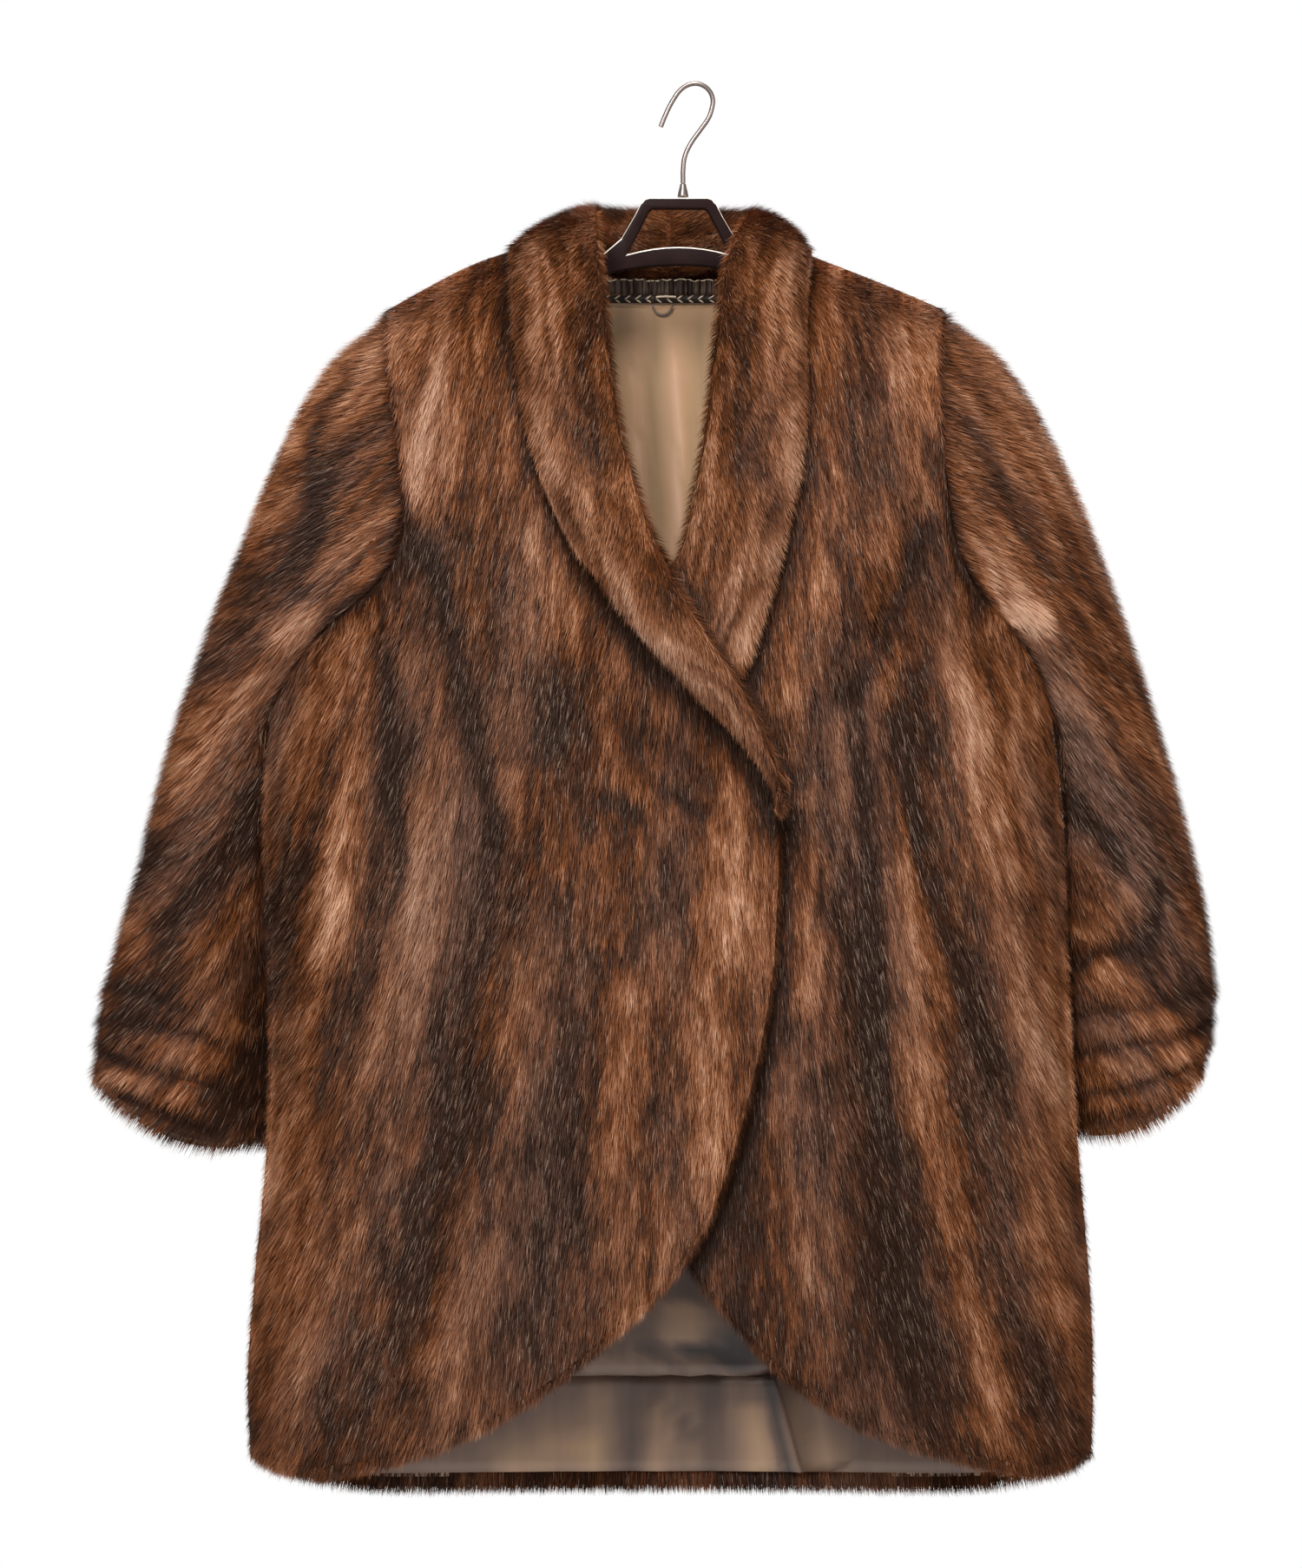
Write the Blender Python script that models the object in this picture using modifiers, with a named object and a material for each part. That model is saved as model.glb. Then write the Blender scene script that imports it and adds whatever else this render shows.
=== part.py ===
"""A fur coat with a shawl collar, hanging closed on a plastic hanger.

Metres, +Z up, the front of the coat faces -Y. The origin is the point inside the top of the hanger's hook
where a rail carries it. Left and right are the wearer's: the wearer's right front lies at -X and closes over
the left.
"""

import math

import bpy
import numpy as np

COLLECTION = "fur_coat_on_hanger"

# Walls and gaps.
FUR_WALL = 0.010  # leather and standing pile together
LINING_WALL = 0.0010
SEAM_GAP = 0.0003
LAY_GAP = 0.0016  # between layers that lie on each other

# The body as a flattened tube: side seams, and how far the front and back stand off the seam plane.
# Above the armpits the sides are those of the whole sheet that the shoulders spread out.
BODY_COLUMNS = ("z", "right_side", "left_side", "front", "back")
BODY = (
    (-0.100, -0.445, 0.395, 0.050, 0.044),
    (-0.170, -0.445, 0.395, 0.060, 0.050),
    (-0.250, -0.412, 0.362, 0.067, 0.055),
    (-0.330, -0.352, 0.304, 0.072, 0.058),
    (-0.380, -0.318, 0.271, 0.074, 0.058),
    (-0.418, -0.298, 0.251, 0.075, 0.058),
    (-0.450, -0.310, 0.262, 0.075, 0.058),
    (-0.521, -0.323, 0.274, 0.074, 0.057),
    (-0.650, -0.319, 0.279, 0.074, 0.057),
    (-0.778, -0.319, 0.286, 0.077, 0.060),
    (-0.907, -0.331, 0.297, 0.080, 0.064),
    (-0.972, -0.335, 0.299, 0.080, 0.065),
    (-1.060, -0.332, 0.297, 0.078, 0.066),
)
SIDE_POWER = 2.6  # how squarely the body turns into its sides
DEPTH_POWER = 0.55
SHOULDER_DROP = 0.11  # the front and back reach their depth this far below the shoulder ridge
SLOPE_STEP = 0.002  # for the slope of the sheets

# The ridge of the shoulders, from sleeve head to sleeve head.
RIDGE_COLUMNS = ("x", "z")
RIDGE = (
    (-0.300, -0.235),
    (-0.262, -0.186),
    (-0.231, -0.168),
    (-0.190, -0.145),
    (-0.166, -0.133),
    (-0.140, -0.124),
    (-0.100, -0.112),
    (-0.078, -0.106),
    (-0.0265, -0.101),
    (0.025, -0.1045),
    (0.045, -0.1095),
    (0.088, -0.127),
    (0.132, -0.144),
    (0.161, -0.156),
    (0.192, -0.170),
    (0.219, -0.184),
    (0.260, -0.232),
)
NECK_X = -0.0180
NECK_HALF = 0.0600
NECKLINE_Z = -0.1415  # lowest point of the back neckline
RIM_TURN = 0.55  # share of the armhole below which its rim starts to turn upright
RIM_LEAN = 0.5  # slope of the turned rim towards the middle of the body
NECK_TURN = 0.030  # the neckline's rim has turned from upright to level this far behind the ridge

# Armholes seen from the front, from the shoulder point to the armpit.
ARMHOLE_STEPS = (0.0, 0.04, 0.12, 0.23, 0.36, 0.49, 0.62, 0.74, 0.85, 0.94, 1.0)
ARMHOLE_COLUMNS = ("z", "right", "left")
ARMHOLE = (
    (-0.168, -0.231, 0.186),
    (-0.226, -0.225, 0.180),
    (-0.277, -0.218, 0.183),
    (-0.329, -0.214, 0.189),
    (-0.367, -0.224, 0.199),
    (-0.396, -0.256, 0.222),
    (-0.418, -0.298, 0.251),
)

# Front edges: neckline under the collar, then the closing edge and the rounded corner down to the hem.
RIGHT_EDGE_COLUMNS = ("z", "x")
RIGHT_EDGE = (
    (-0.100, -0.078),
    (-0.140, -0.072),
    (-0.180, -0.067),
    (-0.223, -0.063),
    (-0.267, -0.056),
    (-0.305, -0.046),
    (-0.345, -0.033),
    (-0.380, -0.017),
    (-0.413, 0.004),
    (-0.443, 0.025),
    (-0.477, 0.044),
    (-0.510, 0.058),
    (-0.548, 0.066),
    (-0.600, 0.064),
    (-0.648, 0.062),
    (-0.688, 0.057),
    (-0.742, 0.044),
    (-0.784, 0.033),
    (-0.824, 0.020),
    (-0.867, -0.001),
    (-0.902, -0.031),
    (-0.931, -0.063),
    (-0.960, -0.098),
    (-0.980, -0.127),
    (-1.000, -0.162),
    (-1.018, -0.212),
    (-1.028, -0.250),
    (-1.0325, -0.280),
)
LEFT_EDGE = (
    (-0.100, 0.047),
    (-0.120, 0.041),
    (-0.145, 0.027),
    (-0.180, 0.019),
    (-0.225, 0.014),
    (-0.267, 0.009),
    (-0.305, 0.002),
    (-0.340, -0.005),
    (-0.372, -0.012),
    (-0.400, -0.024),
    (-0.440, -0.044),
    (-0.489, -0.062),
    (-0.543, -0.074),
    (-0.600, -0.076),
    (-0.650, -0.071),
    (-0.700, -0.062),
    (-0.755, -0.050),
    (-0.800, -0.038),
    (-0.845, -0.023),
    (-0.880, -0.007),
    (-0.902, 0.013),
    (-0.938, 0.043),
    (-0.962, 0.069),
    (-0.987, 0.106),
    (-1.007, 0.150),
    (-1.019, 0.195),
    (-1.028, 0.232),
    (-1.0325, 0.256),
)
# Rows of the fronts below the armpit.
FRONT_ROWS = (-0.448, -0.482, -0.520, -0.560, -0.605, -0.655, -0.705, -0.755, -0.800, -0.840)
FRONT_HEM_ROWS = (-0.876, -0.906, -0.934, -0.960, -0.983, -1.002, -1.018, -1.028, -1.0325)
FRONT_COLUMNS = 21
CORNER_RISE = 0.009  # the hem's round corner at the side seams
CORNER_POWER = 22  # how tight that corner is

BACK_ROWS = (-0.460, -0.510, -0.565, -0.625, -0.690, -0.755, -0.820, -0.880, -0.935, -0.985, -1.025)
BACK_HEM_MID = -1.058
BACK_HEM_SIDE = -1.0325
HEM_POWER = 9  # how far out the hem stays level before it rises to the side seams
BACK_COLUMNS = 23

# Where the right front lies on the left one it stands off it, most over the buried end of the left collar.
OVERLAP_LIFT = FUR_WALL + LAY_GAP
OVERLAP_START = 0.085  # the lift begins this far outside the left front's edge
OVERLAP_RAMP = 0.070
BURIED_COLLAR = {"x": 0.002, "z": -0.405, "across": 0.062, "down": 0.055, "lift": 0.0180}

# Folds of the fur: long soft grooves (+ depth) and ridges (- depth) that run from top to bottom.
FOLD_START = 0.015  # folds fade out where a panel stands off the seams less than this
FOLD_ENDS = (0.12, 0.25)  # shares of its length that a fold runs on past its ends, and over which it fades
FOLD_COLUMNS = ("x_top", "z_top", "x_end", "z_end", "bow", "width", "depth")
RIGHT_FOLDS = (
    (-0.212, -0.250, -0.190, -0.400, -0.010, 0.018, 0.0060),
    (-0.196, -0.385, -0.146, -0.585, 0.012, 0.020, 0.0075),
    (-0.165, -0.370, -0.115, -0.590, 0.010, 0.027, -0.0045),
    (-0.236, -0.400, -0.222, -0.620, -0.004, 0.018, 0.0067),
    (-0.262, -0.440, -0.262, -0.760, -0.010, 0.027, -0.0045),
    (-0.200, -0.610, -0.245, -1.020, 0.012, 0.030, 0.0053),
    (-0.160, -0.640, -0.190, -0.980, 0.010, 0.035, -0.0045),
    (-0.095, -0.500, -0.020, -0.536, -0.006, 0.018, 0.0053),
    (-0.070, -0.470, 0.010, -0.500, -0.006, 0.018, -0.0037),
    (-0.060, -0.560, -0.040, -0.860, 0.012, 0.033, 0.0037),
)
LEFT_FOLDS = (
    (0.172, -0.290, 0.176, -0.370, 0.000, 0.018, 0.0053),
    (0.174, -0.360, 0.108, -0.465, 0.006, 0.020, 0.0075),
    (0.120, -0.330, 0.095, -0.450, 0.004, 0.025, -0.0045),
    (0.150, -0.455, 0.224, -0.745, -0.012, 0.020, 0.0075),
    (0.182, -0.450, 0.252, -0.760, -0.010, 0.027, -0.0045),
    (0.122, -0.490, 0.144, -0.800, -0.004, 0.021, 0.0067),
    (0.098, -0.560, 0.110, -0.880, 0.000, 0.027, -0.0045),
    (0.175, -0.760, 0.200, -1.010, 0.006, 0.030, 0.0053),
)
BACK_FOLDS = (
    (-0.175, -0.330, -0.205, -1.040, 0.008, 0.030, 0.0067),
    (-0.110, -0.420, -0.120, -1.045, -0.006, 0.033, -0.0053),
    (-0.060, -0.300, -0.055, -1.050, 0.006, 0.027, 0.0060),
    (0.010, -0.450, 0.020, -1.050, 0.004, 0.035, -0.0053),
    (0.075, -0.340, 0.090, -1.045, -0.008, 0.030, 0.0067),
    (0.150, -0.400, 0.185, -1.040, 0.006, 0.030, -0.0053),
    (-0.260, -0.520, -0.280, -1.000, 0.004, 0.025, 0.0053),
    (0.215, -0.500, 0.240, -1.000, 0.004, 0.025, 0.0053),
)

# Sleeves: each row is a ring from its outer point to its inner point beside the body, with its middle's
# depth, half depth and how far its middle bows down the sleeve.
SLEEVE_COLUMNS = ("x_out", "z_out", "x_in", "z_in", "y_mid", "half_depth", "bow")
RIGHT_SLEEVE = (
    (-0.264, -0.187, -0.3175, -0.436, 0.012, 0.060, 0.000),
    (-0.292, -0.220, -0.3230, -0.469, 0.020, 0.060, 0.000),
    (-0.316, -0.270, -0.3265, -0.506, 0.030, 0.058, 0.000),
    (-0.338, -0.322, -0.3250, -0.541, 0.037, 0.056, 0.000),
    (-0.361, -0.374, -0.3200, -0.575, 0.040, 0.054, 0.004),
    (-0.382, -0.427, -0.3160, -0.608, 0.042, 0.052, 0.006),
    (-0.400, -0.482, -0.3130, -0.640, 0.044, 0.051, 0.008),
    (-0.415, -0.537, -0.3100, -0.668, 0.045, 0.050, 0.010),
    (-0.428, -0.587, -0.3080, -0.693, 0.047, 0.049, 0.012),
    (-0.441, -0.634, -0.3070, -0.715, 0.049, 0.048, 0.014),
)
RIGHT_CUFF = (
    (-0.452, -0.668, -0.3070, -0.728, 0.050, 0.046, 0.016),
    (-0.460, -0.708, -0.3080, -0.762, 0.050, 0.045, 0.020),
    (-0.462, -0.746, -0.3130, -0.797, 0.050, 0.043, 0.022),
)
LEFT_SLEEVE = (
    (0.219, -0.182, 0.2675, -0.437, 0.012, 0.060, 0.000),
    (0.248, -0.215, 0.2715, -0.470, 0.023, 0.060, 0.000),
    (0.273, -0.258, 0.2745, -0.507, 0.032, 0.058, 0.000),
    (0.298, -0.311, 0.2750, -0.541, 0.037, 0.056, 0.000),
    (0.319, -0.367, 0.2745, -0.575, 0.040, 0.054, 0.004),
    (0.339, -0.422, 0.2730, -0.608, 0.042, 0.052, 0.006),
    (0.357, -0.477, 0.2705, -0.640, 0.044, 0.051, 0.008),
    (0.373, -0.532, 0.2690, -0.668, 0.045, 0.050, 0.010),
    (0.386, -0.582, 0.2680, -0.693, 0.047, 0.049, 0.012),
    (0.396, -0.630, 0.2680, -0.715, 0.049, 0.048, 0.012),
)
LEFT_CUFF = (
    (0.402, -0.668, 0.2690, -0.730, 0.050, 0.046, 0.014),
    (0.401, -0.706, 0.2710, -0.760, 0.050, 0.045, 0.016),
    (0.390, -0.742, 0.2760, -0.789, 0.050, 0.043, 0.018),
)
TUCKS = 4
TUCK_CREST = 0.0031
TUCK_GROOVE = 0.0019
CUFF_TURN = 0.0010  # the last ring turns in by this much
ARMPIT_EASE = 0.0012  # the armhole's seam gap grows by this much towards the armpit
RIM_BLEND = (0.55, 0.2)  # how much of the armhole rim's lean the next rings keep
RING_MORPH = 3  # rings over which the armhole's outline becomes an oval
RIGHT_SLEEVE_FOLDS = (
    (-0.250, -0.215, -0.288, -0.330, -0.008, 0.017, 0.0063),
    (-0.284, -0.330, -0.290, -0.400, 0.004, 0.017, 0.0056),
    (-0.345, -0.470, -0.320, -0.500, 0.000, 0.019, 0.0056),
    (-0.345, -0.600, -0.330, -0.700, 0.006, 0.017, 0.0070),
    (-0.370, -0.560, -0.372, -0.690, 0.004, 0.022, -0.0056),
)
LEFT_SLEEVE_FOLDS = (
    (0.215, -0.210, 0.235, -0.340, 0.008, 0.017, 0.0063),
    (0.280, -0.520, 0.330, -0.580, 0.004, 0.017, 0.0070),
    (0.292, -0.610, 0.345, -0.650, -0.010, 0.018, 0.0077),
    (0.290, -0.585, 0.350, -0.615, -0.012, 0.019, -0.0070),
    (0.345, -0.440, 0.360, -0.560, 0.004, 0.024, 0.0049),
)

# The collar lies on the fronts as a soft roll between its inner (roll) and its outer line.
COLLAR_COLUMNS = ("x_roll", "z_roll", "x_edge", "z_edge", "height")
RIGHT_COLLAR = (
    (-0.0655, -0.145, -0.1360, -0.170, 0.0180),
    (-0.0610, -0.184, -0.1330, -0.208, 0.0180),
    (-0.0570, -0.225, -0.1270, -0.250, 0.0180),
    (-0.0500, -0.267, -0.1150, -0.297, 0.0180),
    (-0.0390, -0.305, -0.0970, -0.338, 0.0180),
    (-0.0260, -0.343, -0.0710, -0.378, 0.0175),
    (-0.0090, -0.379, -0.0410, -0.417, 0.0170),
    (0.0120, -0.412, -0.0080, -0.453, 0.0160),
    (0.0330, -0.443, 0.0190, -0.479, 0.0150),
    (0.0490, -0.474, 0.0390, -0.501, 0.0135),
    (0.0600, -0.506, 0.0530, -0.524, 0.0120),
    (0.0655, -0.536, 0.0600, -0.545, 0.0100),
)
LEFT_COLLAR = (
    (0.0165, -0.145, 0.0820, -0.170, 0.0180),
    (0.0120, -0.184, 0.0830, -0.208, 0.0180),
    (0.0080, -0.225, 0.0820, -0.252, 0.0180),
    (0.0030, -0.267, 0.0770, -0.295, 0.0180),
    (-0.0040, -0.305, 0.0690, -0.333, 0.0175),
    (-0.0110, -0.340, 0.0600, -0.370, 0.0165),
    (-0.0200, -0.372, 0.0490, -0.403, 0.0130),
    (-0.0300, -0.400, 0.0380, -0.432, 0.0100),
    (-0.0400, -0.424, 0.0240, -0.456, 0.0080),
)
# Round the neck the collar stands on the neckline and folds over the shoulder: where its inner foot is, where
# its outer edge is, which way is up in the section, and how far the section is the folded one.
NECK_STATION_COLUMNS = (
    ("x", "y", "z") + ("x_edge", "y_edge", "z_edge") + ("up_x", "up_y", "up_z") + ("folded", "height")
)
RIGHT_NECK = (
    (-0.0183, 0.0270, -0.1400, -0.0183, 0.0780, -0.1560, 0.00, 0.00, 1.00, 1.00, 1.00),
    (-0.0420, 0.0265, -0.1375, -0.0660, 0.0690, -0.1540, 0.00, 0.00, 1.00, 0.95, 0.98),
    (-0.0600, 0.0150, -0.1170, -0.1130, 0.0440, -0.1360, -0.10, 0.06, 1.00, 0.55, 0.85),
    (-0.0670, -0.0020, -0.1015, -0.1380, 0.0000, -0.1200, -0.26, 0.00, 0.96, 0.05, 0.90),
    (-0.0670, -0.0270, -0.1120, -0.1385, -0.0290, -0.1350, -0.22, -0.75, 0.62, 0.00, 0.95),
)
LEFT_NECK = (
    (-0.0177, 0.0270, -0.1400, -0.0177, 0.0780, -0.1560, 0.00, 0.00, 1.00, 1.00, 1.00),
    (0.0060, 0.0265, -0.1375, 0.0250, 0.0690, -0.1540, 0.00, 0.00, 1.00, 0.95, 0.98),
    (0.0260, 0.0150, -0.1200, 0.0680, 0.0440, -0.1390, 0.10, 0.06, 1.00, 0.55, 0.90),
    (0.0340, -0.0020, -0.1060, 0.0870, 0.0000, -0.1235, 0.26, 0.00, 0.96, 0.05, 1.10),
    (0.0260, -0.0270, -0.1150, 0.0870, -0.0290, -0.1370, 0.22, -0.75, 0.62, 0.00, 1.05),
)
NECK_COLLAR_HEIGHT = 0.018
COLLAR_REFINE = 2  # stations made between two rows
# Sections of the collar in units of its width (across) and height (up), from the foot of the inner side over
# the roll to the outer edge; the second pair of columns is the underside.
ROLL_SECTION_COLUMNS = ("across", "up", "under_across", "under_up")
LYING_ROLL = (
    (0.06, 0.08, 0.15, 0.06),
    (0.00, 0.24, 0.16, 0.10),
    (-0.02, 0.50, 0.17, 0.16),
    (0.02, 0.76, 0.20, 0.17),
    (0.13, 0.96, 0.25, 0.14),
    (0.36, 1.06, 0.38, 0.07),
    (0.62, 1.00, 0.60, 0.06),
    (0.86, 0.74, 0.82, 0.06),
    (1.00, 0.30, 0.955, 0.06),
)
# The same rows for the standing, folded collar, in metres.
FOLDED_ROLL = (
    (0.0000, 0.0000, 0.0088, 0.0000),
    (-0.0010, 0.0200, 0.0086, 0.0200),
    (-0.0005, 0.0400, 0.0092, 0.0350),
    (0.0045, 0.0530, 0.0118, 0.0432),
    (0.0150, 0.0590, 0.0158, 0.0470),
    (0.0260, 0.0545, 0.0196, 0.0435),
    (0.0320, 0.0350, 0.0222, 0.0330),
    (0.0350, 0.0080, 0.0245, 0.0090),
    (0.0370, -0.0160, 0.0275, -0.0155),
)

# The back's lining, its hem band and the neck trims.
LINING_DEPTH = FUR_WALL + 0.0022
LINING_TOP = -0.1612
LINING_STEPS = (0.08, 0.20, 0.38, 0.56, 0.72, 0.86, 1.0)
LINING_ROWS = (-0.455, -0.520, -0.600, -0.690, -0.800, -0.890, -0.935, -0.973)
LINING_COLUMNS = 15
LINING_TOP_STEP = 0.018  # between the first rows, under the straight top edge
LINING_SHARE = 0.87  # share of the width between the side seams
BAND_ROWS = (-0.9733, -1.008, -1.046)
BAND_COLUMNS = 23
PLEAT = {"x_top": 0.061, "x_end": 0.081, "width": 0.014, "depth": 0.006}
TRIM_START = -0.070
TRIM_END = 0.017
RUFFLE_TOP = -0.1425
RUFFLE_FOOT = -0.1530
RUFFLE_PLEATS = 17
RUFFLE_DEPTH = 0.0011
RIBBON_WALL = 0.0007
BRAID_TOP = -0.1535
BRAID_MID = -0.1562
BRAID_FOOT = -0.1589
BRAID_THICK = 0.0024
BRAID_PLAITS = 16
LOOP_X = -0.0240
LOOP_TOP = -0.1605
LOOP_HALF = 0.0075
LOOP_DROP = 0.0075
LOOP_RADIUS = 0.0009
LOOP_POINTS = 11

# The hanger: its right side from the arm up to the top band, mirrored for the left side.
HANGER_MID = -0.0120
HANGER_TOP = -0.0840
HANGER_THICK = 0.0090
HANGER_SIDE = (
    (-0.0676, -0.1255),
    (-0.0546, -0.1145),
    (-0.0455, -0.0990),
    (-0.0400, -0.0885),
    (-0.0375, -0.0852),
    (-0.0340, -0.0840),
)
WINDOW_SIDE = (
    (-0.0450, -0.1160),
    (-0.0385, -0.1035),
    (-0.0340, -0.0945),
    (-0.0315, -0.0925),
)
SILL_END = (-0.0500, -0.1265)
BAR_END = (-0.0676, -0.1345)
BAR_RISE = 0.0070
SILL_RISE = 0.0056
BAR_DEPTH = 0.0070
ARM_DROP = 0.0180  # from the ridge of the shoulders to the top of the arm
ARM_HEIGHT = 0.0130
ARM_RIGHT_START = -0.0950
ARM_RIGHT_END = -0.2120
ARM_LEFT_START = 0.0680
ARM_LEFT_END = 0.1660

# The hook: a stem that sweeps to the side, then an arc over the rail whose open side is wider and lower.
WIRE_RADIUS = 0.0018
TUBE_RESOLUTION = 2
HOOK_STEM = (  # x and z of the wire, from the ferrule up
    (-0.0085, -0.0729),
    (-0.0084, -0.0620),
    (-0.0072, -0.0530),
    (-0.0030, -0.0435),
    (0.0040, -0.0335),
    (0.0108, -0.0235),
)
HOOK_RADIUS = 0.0135
HOOK_MIDDLE_X = 0.0004
HOOK_OPEN_WIDTH = 1.75
HOOK_OPEN_DROOP = 1.2
HOOK_TURN = (-15, 196, 15)  # degrees: the arc's start, its end and the step between its points
HOOK_TIP = (-0.0252, -0.0242)
FERRULE_TOP = -0.0735
FERRULE_X = -0.0085
FERRULE_RADIUS_TOP = 0.0023
FERRULE_RADIUS_NECK = 0.0026
FERRULE_RADIUS_FOOT = 0.0042
FERRULE_NECK = 0.0020  # the straight stretches at the ferrule's top and foot
FERRULE_SHOE = 0.0025
FERRULE_SIDES = 16


def column(table, names, name):
    return np.array([row[names.index(name)] for row in table], float)


def smooth(xs, ys, at):
    """A smooth curve through the rows of a table, read at one place or many."""
    order = np.argsort(xs)
    xs, ys = np.asarray(xs)[order], np.asarray(ys)[order]
    slope = np.gradient(ys, xs)
    at = np.clip(np.asarray(at, float), xs[0], xs[-1])
    k = np.clip(np.searchsorted(xs, at) - 1, 0, len(xs) - 2)
    span = xs[k + 1] - xs[k]
    t = (at - xs[k]) / span
    low = (2 * t**3 - 3 * t**2 + 1) * ys[k] + (t**3 - 2 * t**2 + t) * span * slope[k]
    high = (3 * t**2 - 2 * t**3) * ys[k + 1] + (t**3 - t**2) * span * slope[k + 1]
    return low + high


def step_up(value):
    t = np.clip(value, 0.0, 1.0)
    return t * t * (3 - 2 * t)


def body(name, z):
    return smooth(column(BODY, BODY_COLUMNS, "z"), column(BODY, BODY_COLUMNS, name), z)


def body_middle(z):
    return 0.5 * (body("right_side", z) + body("left_side", z))


def body_half(z):
    return 0.5 * (body("left_side", z) - body("right_side", z))


def ridge(x):
    return smooth(column(RIDGE, RIDGE_COLUMNS, "x"), column(RIDGE, RIDGE_COLUMNS, "z"), x)


def armhole_x(side, z):
    return smooth(column(ARMHOLE, ARMHOLE_COLUMNS, "z"), column(ARMHOLE, ARMHOLE_COLUMNS, side), z)


def edge_x(table, z):
    return smooth(column(table, RIGHT_EDGE_COLUMNS, "z"), column(table, RIGHT_EDGE_COLUMNS, "x"), z)


def stand_off(face, x, z):
    """How far the front or back stands off the seam plane at a place seen from the front."""
    share = np.clip(np.abs(x - body_middle(z)) / body_half(z), 0.0, 1.0)
    rounding = (1.0 - share**SIDE_POWER) ** DEPTH_POWER
    below = np.clip((ridge(x) - z) / SHOULDER_DROP, 0.0, 1.0)
    return body(face, z) * rounding * np.sqrt(1.0 - (1.0 - below) ** 2)


def sheet_normal(face, x, z):
    """Unit normals of the front's or back's plain surface, pointing out of the coat."""
    sign = -1 if face == "front" else 1
    step = SLOPE_STEP
    slope_x = (stand_off(face, x + step, z) - stand_off(face, x - step, z)) / (2 * step)
    slope_z = (stand_off(face, x, z + step) - stand_off(face, x, z - step)) / (2 * step)
    normal = np.stack([-slope_x, np.full(np.shape(slope_x), float(sign)), -slope_z], axis=-1)
    return normal / np.linalg.norm(normal, axis=-1, keepdims=True)


def inside_back(x, z, depth):
    """The point at a depth inside the back's outer face that is seen at this place from the front."""
    at_x, at_z = x, z
    for _ in range(6):
        normal = sheet_normal("back", at_x, at_z)
        at_x, at_z = x + normal[..., 0] * depth, z + normal[..., 2] * depth
    y = stand_off("back", at_x, at_z) - normal[..., 1] * depth
    return np.stack([x + 0.0 * y, y, z + 0.0 * y], axis=-1)


def front_lift(x, z):
    """How far the right front stands above the surface that the left front follows."""
    over = step_up((x - edge_x(LEFT_EDGE, z) + OVERLAP_START) / OVERLAP_RAMP)
    across = (x - BURIED_COLLAR["x"]) / BURIED_COLLAR["across"]
    down = (z - BURIED_COLLAR["z"]) / BURIED_COLLAR["down"]
    return OVERLAP_LIFT * over + BURIED_COLLAR["lift"] * np.exp(-(across**2) - down**2)


def fold_relief(folds, x, z):
    """The depth of all folds at a place: each is a soft trough along a bowed line that fades at its ends."""
    relief = np.zeros(np.shape(x))
    for row in folds:
        fold = dict(zip(FOLD_COLUMNS, row))
        start = np.array([fold["x_top"], fold["z_top"]])
        along = np.array([fold["x_end"], fold["z_end"]]) - start
        length = np.hypot(*along)
        along = along / length
        side = np.array([-along[1], along[0]])
        dx, dz = x - start[0], z - start[1]
        run = (dx * along[0] + dz * along[1]) / length
        bend = fold["bow"] * 4 * run * (1 - run)
        off = dx * side[0] + dz * side[1] - bend
        past, fading = FOLD_ENDS
        fade = step_up((run + past) / fading) * step_up((1 + past - run) / fading)
        relief += fold["depth"] * fade * np.exp(-((off / fold["width"]) ** 2))
    return relief


def ring_normals(points):
    """Unit normals of a grid whose rows are closed rings, pointing away from each ring's middle."""
    around = np.roll(points, -1, axis=1) - np.roll(points, 1, axis=1)
    down = np.gradient(points, axis=0)
    normal = np.cross(around, down)
    normal = normal / np.linalg.norm(normal, axis=2, keepdims=True)
    away = points - points.mean(axis=1, keepdims=True)
    facing = np.sign((normal * away).sum(axis=(1, 2), keepdims=True))
    return normal * facing


def new_material(name, colour, roughness, metallic=0.0):
    material = bpy.data.materials.new(name)
    material.use_nodes = True
    shader = material.node_tree.nodes["Principled BSDF"]
    shader.inputs["Base Color"].default_value = (*colour, 1.0)
    shader.inputs["Roughness"].default_value = roughness
    shader.inputs["Metallic"].default_value = metallic
    material.diffuse_color = (*colour, 1.0)
    return material


def add_object(name, data, material):
    data.materials.append(material)
    obj = bpy.data.objects.new(name, data)
    bpy.data.collections[COLLECTION].objects.link(obj)
    return obj


def split(points, a, b, c, d):
    """The two triangles of a quad, cut along its shorter diagonal."""
    if np.linalg.norm(points[a] - points[c]) <= np.linalg.norm(points[b] - points[d]):
        return [(a, b, c), (a, c, d)]
    return [(a, b, d), (b, c, d)]


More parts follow.
